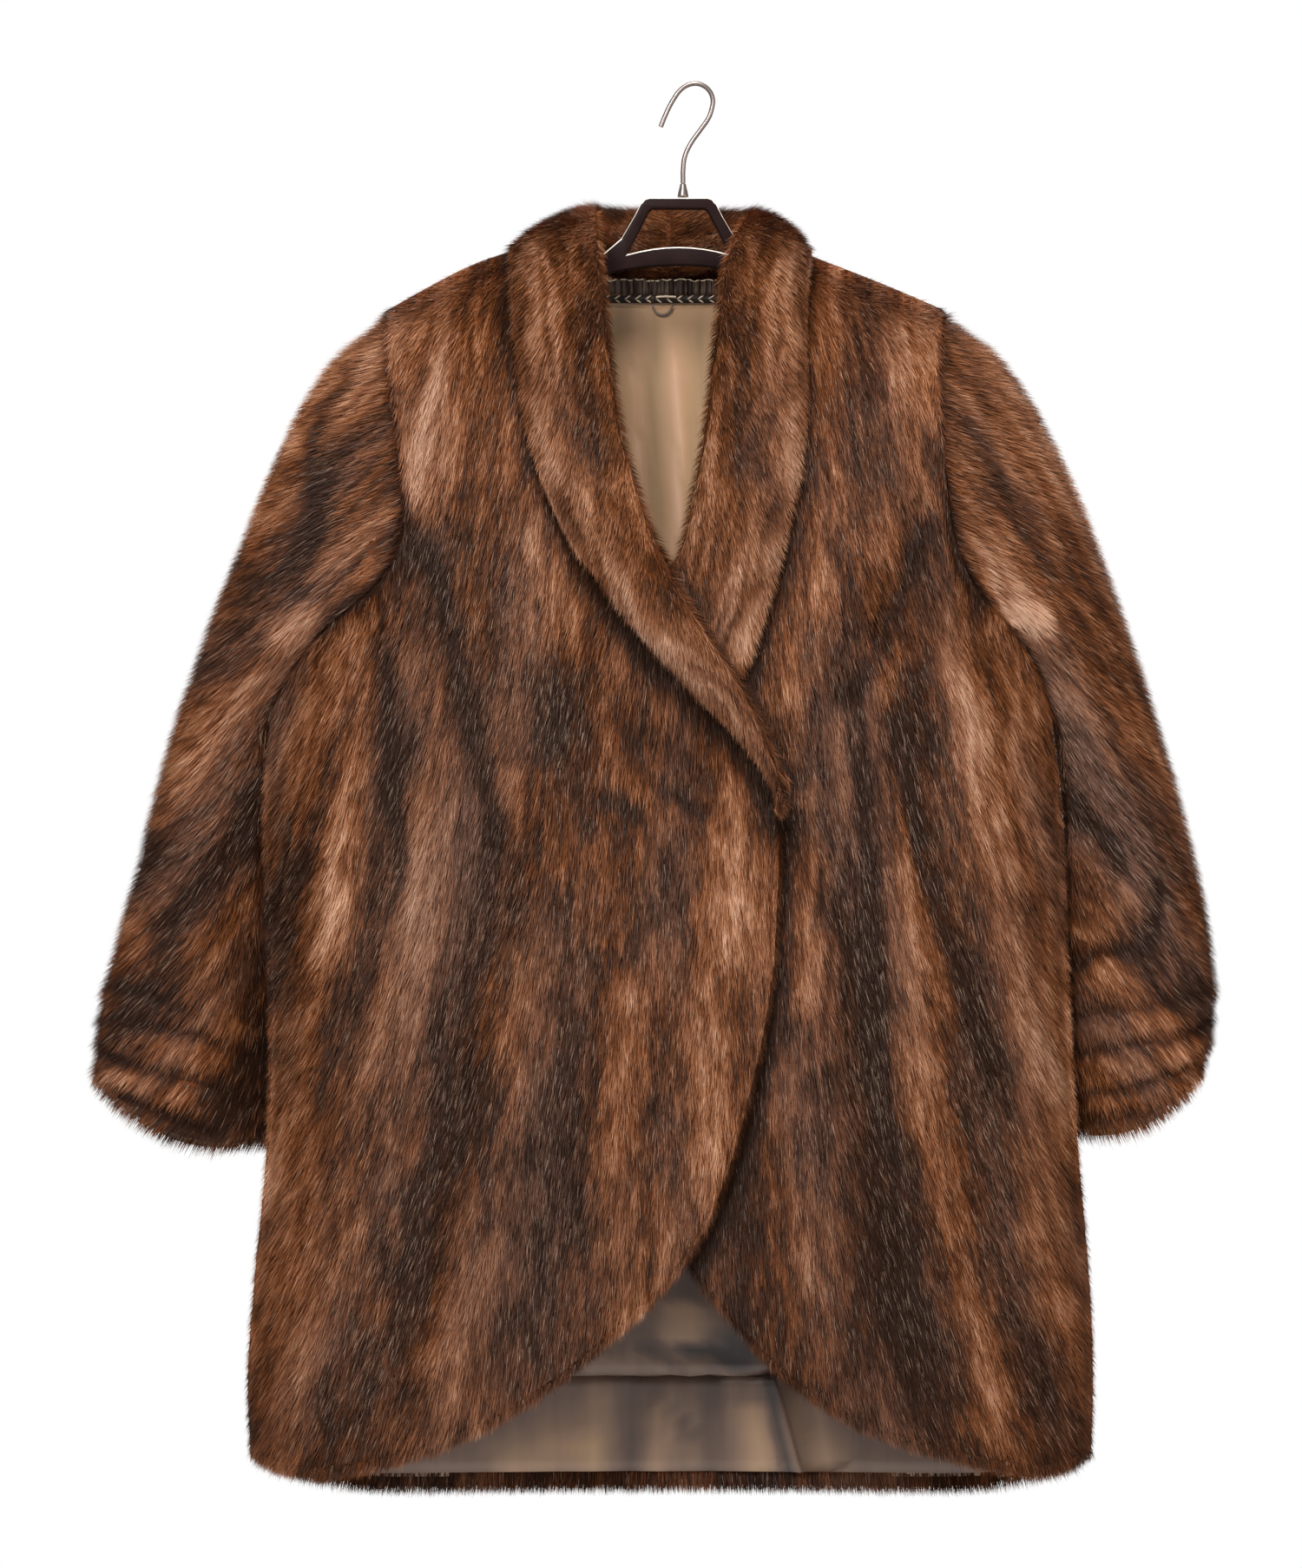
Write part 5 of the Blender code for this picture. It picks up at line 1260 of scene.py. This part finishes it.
growing = hair_tree()
panels = {}
for number, row in enumerate(HAIRS):
    row = dict(zip(HAIR_COLUMNS, row))
    skin = make_skin(row["node"], row["length"], row["lift"])
    panels[row["node"]] = (skin, grow_hair(skin, row, SEED_STEP * number))
bpy.data.objects.remove(blade)


def declare_cloth(piece):
    """Measures one side of a hanging piece's cloth; nothing more is done with the area."""
    area = shell_area(piece.data)


for node, (skin, hair) in panels.items():
    add_piece(skin, node)
    add_piece(hair)
    declare_cloth(skin)

# %% [markdown]
# ## Satin lining
#
# The lining hangs in front of the back's leather. Satin is thin and slippery: its own weight draws it into
# soft upright folds, which catch a pinkish light on their ridges. Each lining piece is a finer copy of its
# solid, with folds listed in a table like that of the pelts. Their tone goes with them: painted highlights
# on the ridges and painted shade in the troughs. Lower down, and most in the band at the hem deep in the
# coat, the satin has painted shade.

# %% Tables of satin folds
# The tone of the folds is painted light and shade: highlights on ridges, shade in troughs and in the hollow
# by the hem.
LINING_FOLDS = {
    "back_lining": (
        (-0.046, -0.185, -0.042, -0.420, 0.002, 0.0050, -0.0010, 0.20, 0.0),
        (-0.031, -0.165, -0.030, -0.420, 0.001, 0.0050, 0.0008, -0.16, 0.0),
        (-0.013, -0.190, -0.012, -0.420, 0.001, 0.0050, -0.0012, 0.22, 0.0),
        (0.004, -0.170, 0.002, -0.400, 0.001, 0.0070, 0.0008, -0.16, 0.0),
        (-0.060, -0.170, -0.058, -0.400, 0.000, 0.0080, 0.0006, -0.12, 0.0),
        (-0.002, -0.915, -0.001, -0.950, 0.000, 0.0200, -0.0015, 0.34, 0.0),
        (-0.090, -0.962, 0.010, -0.963, 0.000, 0.0055, -0.0008, 0.12, 0.0),
        (-0.046, -0.937, -0.016, -0.966, 0.000, 0.0036, 0.0012, -0.20, 0.0),
        (-0.004, -0.954, 0.036, -0.946, 0.000, 0.0070, 0.0015, -0.22, 0.0),
        (0.022, -0.962, 0.056, -0.958, 0.000, 0.0050, 0.0020, -0.40, 0.0),
    ),
    "hem_band": (
        (-0.150, -1.042, -0.070, -1.030, 0.000, 0.0170, -0.0010, 0.20, 0.0),
        (-0.072, -0.980, -0.076, -1.060, 0.000, 0.0130, -0.0010, 0.10, 0.0),
        (-0.046, -0.970, -0.054, -1.060, 0.004, 0.0100, 0.0014, -0.12, 0.0),
        (-0.034, -0.970, 0.004, -1.024, -0.006, 0.0050, 0.0014, -0.12, 0.0),
        (-0.024, -0.990, -0.030, -1.060, 0.003, 0.0100, -0.0012, 0.14, 0.0),
        (0.018, -0.970, 0.006, -1.060, 0.004, 0.0090, 0.0010, -0.12, 0.0),
        (0.044, -0.995, 0.048, -1.060, 0.000, 0.0130, -0.0012, 0.24, 0.0),
        (0.056, -0.970, 0.074, -1.055, 0.000, 0.0045, 0.0010, -0.26, 0.0),
        (0.084, -0.985, 0.100, -1.045, 0.000, 0.0110, -0.0010, 0.20, 0.0),
    ),
}
LINING_SHADES = (  # between two heights the tone changes by the last: painted shade deeper in the coat
    (-0.20, -0.34, 0.01),
    (-0.45, -0.80, -0.42),
)
COVER_SHADE = -0.34  # tone where the fronts and the collar cover the whole view of a point
COVER_FROM, COVER_TO = -0.32, -0.44  # they shade it below these heights, but the open neck gets light
COVER_TILTS = (12, 28, 46)  # degrees off the way to the front
COVER_TURNS = 8
COVER_REACH = 0.25
SEAM_PUCKER = 0.0007
PUCKER_FADE = 0.010
PUCKERS = ((240.0, 0.0), (571.0, 1.0))  # radians for each metre, and where each wave starts
lining_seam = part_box("hem_band")[1][2]


# %% Making the lining
def views_to_front():
    """Directions to the front, straight and on three rings around it."""
    views = [Vector((0.0, -1.0, 0.0))]
    for tilt in COVER_TILTS:
        side = math.sin(math.radians(tilt))
        out = -math.cos(math.radians(tilt))
        for turn in range(COVER_TURNS):
            turned = 2 * math.pi * turn / COVER_TURNS
            views.append(Vector((side * math.cos(turned), out, side * math.sin(turned))))
    return views


def covered_share(points):
    """How much of a point's view to the front is covered by fur, from 0 to 1."""
    tree = tree_of("front_right", "front_left", "collar_right", "collar_left")
    views = views_to_front()
    hits = [[tree.ray_cast(Vector(p), view, COVER_REACH)[0] is not None for view in views] for p in points]
    return np.mean(hits, axis=1)


def make_lining(node):
    """A satin copy of a lining node, with soft folds and a pucker along its seam."""
    obj = rounded_copy(node, node + "_satin", levels=2)
    mesh = obj.data
    points = read(mesh.vertices, "co", 3)
    depth, tone, _ = bands_at(points, LINING_FOLDS[node], relief=0.0)
    for start, end, change in LINING_SHADES:
        tone += change * step_up((points[:, 2] - start) / (end - start))
    deep = step_up((COVER_FROM - points[:, 2]) / (COVER_FROM - COVER_TO))
    tone += COVER_SHADE * covered_share(points) * deep
    points[:, 1] += depth
    fade = np.exp(-((points[:, 2] - lining_seam) / PUCKER_FADE) ** 2)
    points[:, 2] += SEAM_PUCKER * fade * sum(np.sin(rate * points[:, 0] + shift) for rate, shift in PUCKERS)
    mesh.vertices.foreach_set("co", points.ravel())
    add_attribute(mesh, "tone", tone)
    mesh.materials.append(satin_paint.material)
    smooth(mesh)
    add_piece(obj, node)
    declare_cloth(obj)


for node in LINING_FOLDS:
    make_lining(node)

# %% [markdown]
# ## Ribbon, braid and loop
#
# A pleated ribbon hides the seam under the back of the collar. Its upper edge is bound in pale satin that
# wavers with the pleats. A dark braid covers its foot, worked with beige stitches like a row of arrow
# heads. The stitches are grown by Geometry Nodes on points along the braid, each turned by an angle that is
# stored on its point.

# %% Finishes of the neck trims
RIBBON_STOPS = ((0.36, (0.014, 0.009, 0.007)), (0.62, (0.125, 0.084, 0.062)))

ribbon_paint = Paint("dark ribbon", Roughness=0.55, Specular_IOR_Level=0.2)
pleats = ribbon_paint.noise(ribbon_paint.place((1.0, 0.0, 0.06)), 520.0)
ribbon_paint.feed("Base Color", ribbon_paint.ramp(pleats, RIBBON_STOPS))
ribbon_paint.bump(pleats, strength=0.5, distance=0.0006)

binding_paint = Paint("pale satin binding", Roughness=0.4, Sheen_Weight=0.3, Sheen_Roughness=0.35)
binding_paint.two_tones((0.36, 0.26, 0.17), (0.72, 0.58, 0.42), rate=700.0)

braid_paint = Paint("dark braid", Roughness=0.7, Specular_IOR_Level=0.2)
grain = braid_paint.two_tones((0.010, 0.007, 0.006), (0.040, 0.028, 0.022), rate=900.0)
braid_paint.bump(grain, strength=0.4, distance=0.0005)

cord_paint = Paint("beige cord", Roughness=0.6)
cord_tones = ((0.110, 0.082, 0.068), (0.250, 0.190, 0.155))
grain = cord_paint.two_tones(*cord_tones, rate=1100.0, stretch=(1.0, 1.0, 3.0))
cord_paint.bump(grain, strength=0.4, distance=0.0004)


# %% Copies with a finish
def dressed_copy(node, name, paint, levels=2):
    """A rounded copy that stands for its node, with one finish."""
    obj = rounded_copy(node, name, levels)
    obj.data.materials.append(paint.material)
    smooth(obj.data)
    add_piece(obj, node)
    print(f"{name}: {len(obj.data.polygons)} faces")
    return obj


ruffle = dressed_copy("neck_ruffle", "neck_ruffle_pleats", ribbon_paint)
dressed_copy("neck_braid", "neck_braid_cord", braid_paint)
dressed_copy("hang_loop", "hang_loop_cord", cord_paint, levels=1)

# %% The ruffle's uneven pleats
RUFFLE_LOW, RUFFLE_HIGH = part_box("neck_ruffle")
RUFFLE_WAVES = ((61.0, 0.00035), (143.0, 0.00030), (29.0, 0.00045))  # waves for each metre and their height
PLEAT_SHIFT, PLEAT_WAVES = 0.0011, 47.0  # how far the pleats crowd to a side, and how often for each metre
RIBBON_WIDTH = 0.0105


def ruffle_wave(x):
    """How far the ribbon's upper edge rises or falls at a place along it."""
    return sum(size * np.sin(2 * math.pi * rate * x + rate) for rate, size in RUFFLE_WAVES)


points = read(ruffle.data.vertices, "co", 3)
share = (points[:, 2] - RUFFLE_LOW[2]) / (RUFFLE_HIGH[2] - RUFFLE_LOW[2])
points[:, 2] += share * ruffle_wave(points[:, 0])
points[:, 0] += PLEAT_SHIFT * np.sin(2 * math.pi * PLEAT_WAVES * points[:, 0]) * (0.5 + 0.5 * share)
ruffle.data.vertices.foreach_set("co", points.ravel())
ribbon_length = shell_area(ruffle.data) / RIBBON_WIDTH
print(f"ruffle: {1000 * ribbon_length:.0f} mm of ribbon in {1000 * (RUFFLE_HIGH[0] - RUFFLE_LOW[0]):.0f} mm")


# %% A tube through points
def add_spline(curve, points, rounded):
    """One open spline through the points, rounded or straight from each to the next."""
    spline = curve.splines.new("BEZIER" if rounded else "POLY")
    knots = spline.bezier_points if rounded else spline.points
    knots.add(len(points) - 1)
    for knot, place in zip(knots, points):
        if rounded:
            knot.co = place
            knot.handle_left_type = knot.handle_right_type = "AUTO"
        else:
            knot.co = (*place, 1.0)


def tube(name, points, radius, paint, sides=3, resolution=1):
    """A closed tube as a piece of the coat."""
    curve = bpy.data.curves.new(name, "CURVE")
    curve.dimensions = "3D"
    curve.bevel_depth = radius
    curve.bevel_resolution = sides
    curve.resolution_u = resolution
    curve.use_fill_caps = True
    add_spline(curve, points, resolution > 1)
    maker = link(name, curve)
    mesh = evaluated_mesh(maker)
    bpy.data.objects.remove(maker)
    with opened(mesh) as bm:
        bmesh.ops.remove_doubles(bm, verts=bm.verts, dist=MERGE_DISTANCE)
    mesh.name = name
    mesh.materials.clear()
    mesh.materials.append(paint.material)
    smooth(mesh)
    obj = link(name, mesh)
    add_piece(obj)
    print(f"{name}: {len(mesh.polygons)} faces")
    return obj


# %% Binding along the ruffle's top
BINDING_RADIUS = 0.00055
BINDING_POINTS = 140
BINDING_END = 0.0005  # it stops this far from the ruffle's ends
BINDING_LOOK = 0.0012  # the ruffle's front is read this far below its top
BINDING_BACK, BINDING_DROP = 0.0001, 0.0002  # how far the binding sits behind that front and below the top
ruffle_tree = tree_of("neck_ruffle")


def front_of(tree, x, z):
    """How far forward a surface comes, seen from the front."""
    return tree.ray_cast(Vector((x, -1.0, z)), Vector((0.0, 1.0, 0.0)))[0].y


binding = []
for x in np.linspace(RUFFLE_LOW[0] + BINDING_END, RUFFLE_HIGH[0] - BINDING_END, BINDING_POINTS):
    y = front_of(ruffle_tree, float(x), RUFFLE_HIGH[2] - BINDING_LOOK)
    z = RUFFLE_HIGH[2] - BINDING_DROP + float(ruffle_wave(x))
    binding.append((float(x), y + BINDING_BACK, z))
tube("neck_ruffle_binding", binding, BINDING_RADIUS, binding_paint, sides=2)

# %% Stitches of the braid
STITCH_SOCKETS = (
    ("Points", "NodeSocketGeometry"),
    ("Length", "NodeSocketFloat"),
    ("Thickness", "NodeSocketFloat"),
    ("Finish", "NodeSocketMaterial"),
)
STITCHES = 11
STITCH_LENGTH = 0.0058
STITCH_THICK = 0.00125
STITCH_SLOPE = math.radians(33)
STITCH_SPREAD = 0.0013  # from the braid's middle to the middle of an arm
STITCH_OUT = 0.0002  # in front of the braid


def stitch_tree():
    """The tree that lays a long bead on each point."""
    graph, given = new_tree("stitches", STITCH_SOCKETS)
    bead = graph.node("GeometryNodeMeshIcoSphere", {}, {"Radius": 0.5, "Subdivisions": 2})
    thick = given.other("Thickness")
    size = graph.node("ShaderNodeCombineXYZ", {}, {"X": given.other("Length"), "Y": thick, "Z": thick})
    end_tree(graph, given, given, bead, named(graph, "turn", "FLOAT_VECTOR"), size)
    return graph.tree


braid_low, braid_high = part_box("neck_braid")
braid_tree = tree_of("neck_braid")
braid_middle = (braid_low[2] + braid_high[2]) / 2
places, turns = [], []
step = (braid_high[0] - braid_low[0]) / STITCHES
for k in range(STITCHES):
    x = braid_low[0] + (k + 0.5) * step
    for arm in (-1, 1):
        z = braid_middle + arm * STITCH_SPREAD
        places.append((x, front_of(braid_tree, x, z) - STITCH_OUT, z))
        turns.append((0.0, -arm * STITCH_SLOPE, 0.0))
stitch_points = bpy.data.meshes.new("braid_stitches")
stitch_points.from_pydata(places, [], [])
add_attribute(stitch_points, "turn", turns, "FLOAT_VECTOR")
holder = link("stitch_points", stitch_points)
values = {"Length": STITCH_LENGTH, "Thickness": STITCH_THICK, "Finish": binding_paint.material}
stitch_mesh = run_tree(holder, stitch_tree(), values)
bpy.data.objects.remove(holder)
stitch_mesh.name = "braid_stitches"
stitch_mesh.shade_smooth()
add_piece(link("braid_stitches", stitch_mesh))
print("stitches:", len(places), "arms,", len(stitch_mesh.polygons), "faces")

# %% The loop's bar, sewn across the braid
BAR_ENDS = (-0.0284, -0.0138)
BAR_POINTS = 9
BAR_RADIUS = 0.0009
BAR_WAVES, BAR_WAVE = 300.0, 0.0003  # radians for each metre, and the height of its waves
BAR_DROP, BAR_OUT = 0.0012, 0.0008  # below the braid's top and in front of the braid

bar = []
for x in np.linspace(*BAR_ENDS, BAR_POINTS):
    y = front_of(braid_tree, float(x), braid_middle) - BAR_OUT
    bar.append((float(x), y, braid_high[2] - BAR_DROP + BAR_WAVE * math.cos(BAR_WAVES * float(x))))
tube("hang_loop_bar", bar, BAR_RADIUS, binding_paint, sides=3)

# %% [markdown]
# ## Hanger and hook
#
# The hanger is moulded in black-brown plastic with rounded edges. The bright lines that run along its top
# and its bar are a painted highlight: the bevel's faces that look up are painted pale. A copy of the solid
# has its flat faces made whole again, and a bevel rounds the edges. The hook is a wire of bright steel,
# swept through points up its stem, round an arc and down its open side, which falls in a straighter line
# than that of its solid.

# %% Plastic and steel
STEEL_ROUGHNESS, SCRATCH_ROUGHNESS = 0.30, 0.06

plastic = Paint("black-brown plastic", Roughness=0.35, Specular_IOR_Level=0.05)
plastic.two_tones((0.010, 0.005, 0.005), (0.022, 0.011, 0.010), rate=60.0, detail=3.0)
plastic.bump(plastic.noise(plastic.place(), 900.0), strength=0.05, distance=0.0002)

# Painted highlight: the pale colour on the bevel's upward faces stands for the light that the top edges
# reflect.
edge_highlight_paint = Paint("polished pale edge", Roughness=0.18, Specular_IOR_Level=0.6)
edge_highlight_paint.two_tones((0.70, 0.60, 0.50), (0.92, 0.84, 0.74), rate=90.0)

steel = Paint("plated steel", Metallic=1.0)
steel_tones = ((0.21, 0.165, 0.150), (0.31, 0.255, 0.235))
scratches = steel.two_tones(*steel_tones, rate=60.0, stretch=(1.0, 1.0, 0.2))
steel.feed("Roughness", scratches * SCRATCH_ROUGHNESS + STEEL_ROUGHNESS)

# %% Hanger
HANGER_BEVEL = 0.0016
BEVEL_SEGMENTS = 4
BEVEL_ANGLE = math.radians(50)
HANGER_SHARP = math.radians(35)
FLAT_ANGLE = math.radians(1)
HIGHLIGHT_LEAST_UP = 0.30  # an edge's face that looks up at least this much gets the painted highlight

hanger = link("hanger_moulding", bpy.data.meshes.new("hanger_moulding"))
with opened(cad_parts["hanger"].data, hanger.data) as bm:
    bmesh.ops.remove_doubles(bm, verts=bm.verts, dist=MERGE_DISTANCE)
    bmesh.ops.dissolve_limit(bm, angle_limit=FLAT_ANGLE, verts=bm.verts, edges=bm.edges)
bevel = hanger.modifiers.new("rounded edges", "BEVEL")
bevel.width = HANGER_BEVEL
bevel.segments = BEVEL_SEGMENTS
bevel.use_clamp_overlap = False
bevel.limit_method = "ANGLE"
bevel.angle_limit = BEVEL_ANGLE
apply_modifiers(hanger)
hanger.data.materials.append(plastic.material)
hanger.data.materials.append(edge_highlight_paint.material)
looks_up = read(hanger.data.polygons, "normal", 3)[:, 2] > HIGHLIGHT_LEAST_UP
hanger.data.polygons.foreach_set("material_index", looks_up.astype(np.int32))
smooth(hanger.data, HANGER_SHARP)
add_piece(hanger, "hanger")
print("hanger:", len(looks_up), "faces,", int(looks_up.sum()), "of them painted as highlight")

# %% Hook
WIRE_RADIUS = 0.0018
HOOK_STEM = (  # x and z of the wire, from the ferrule up
    (-0.0085, -0.0729),
    (-0.0084, -0.0620),
    (-0.0072, -0.0530),
    (-0.0030, -0.0435),
    (0.0040, -0.0335),
    (0.0108, -0.0235),
)
HOOK_RADIUS = 0.0135
HOOK_MIDDLE = (0.0004, WIRE_RADIUS - HOOK_RADIUS)
HOOK_TURN = (-15, 91, 15)  # degrees: the arc's start, its end and the step between its points
HOOK_OPEN_SIDE = (  # x and z, from the top down to the tip
    (-0.0055, 0.0004),
    (-0.0110, -0.0036),
    (-0.0150, -0.0090),
    (-0.0185, -0.0150),
    (-0.0222, -0.0230),
    (-0.0252, -0.0305),
)

wire = [(x, 0.0, z) for x, z in HOOK_STEM]
for degrees in range(*HOOK_TURN):
    angle = math.radians(degrees)
    x = HOOK_MIDDLE[0] + HOOK_RADIUS * math.cos(angle)
    wire.append((x, 0.0, HOOK_MIDDLE[1] + HOOK_RADIUS * math.sin(angle)))
wire += [(x, 0.0, z) for x, z in HOOK_OPEN_SIDE]
hook = tube("hook_wire", wire, WIRE_RADIUS, steel, sides=6, resolution=5)
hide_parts("hanger_hook")

dressed_copy("hook_ferrule", "hook_ferrule_turned", steel, levels=1)

# %% The model's box
added = [obj for obj in bpy.data.objects if obj.type == "MESH" and obj.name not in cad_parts]
print("triangles added:", sum(len(face.vertices) - 2 for obj in added for face in obj.data.polygons))
lowest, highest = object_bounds()
sizes = {"cad": [list(corner) for corner in cad_box], "visual": [list(lowest), list(highest)]}
grown = [round(1000 * (new - old), 1) for new, old in zip(sizes["visual"][1], sizes["cad"][1])]
print("grown past the solids, mm:", grown)
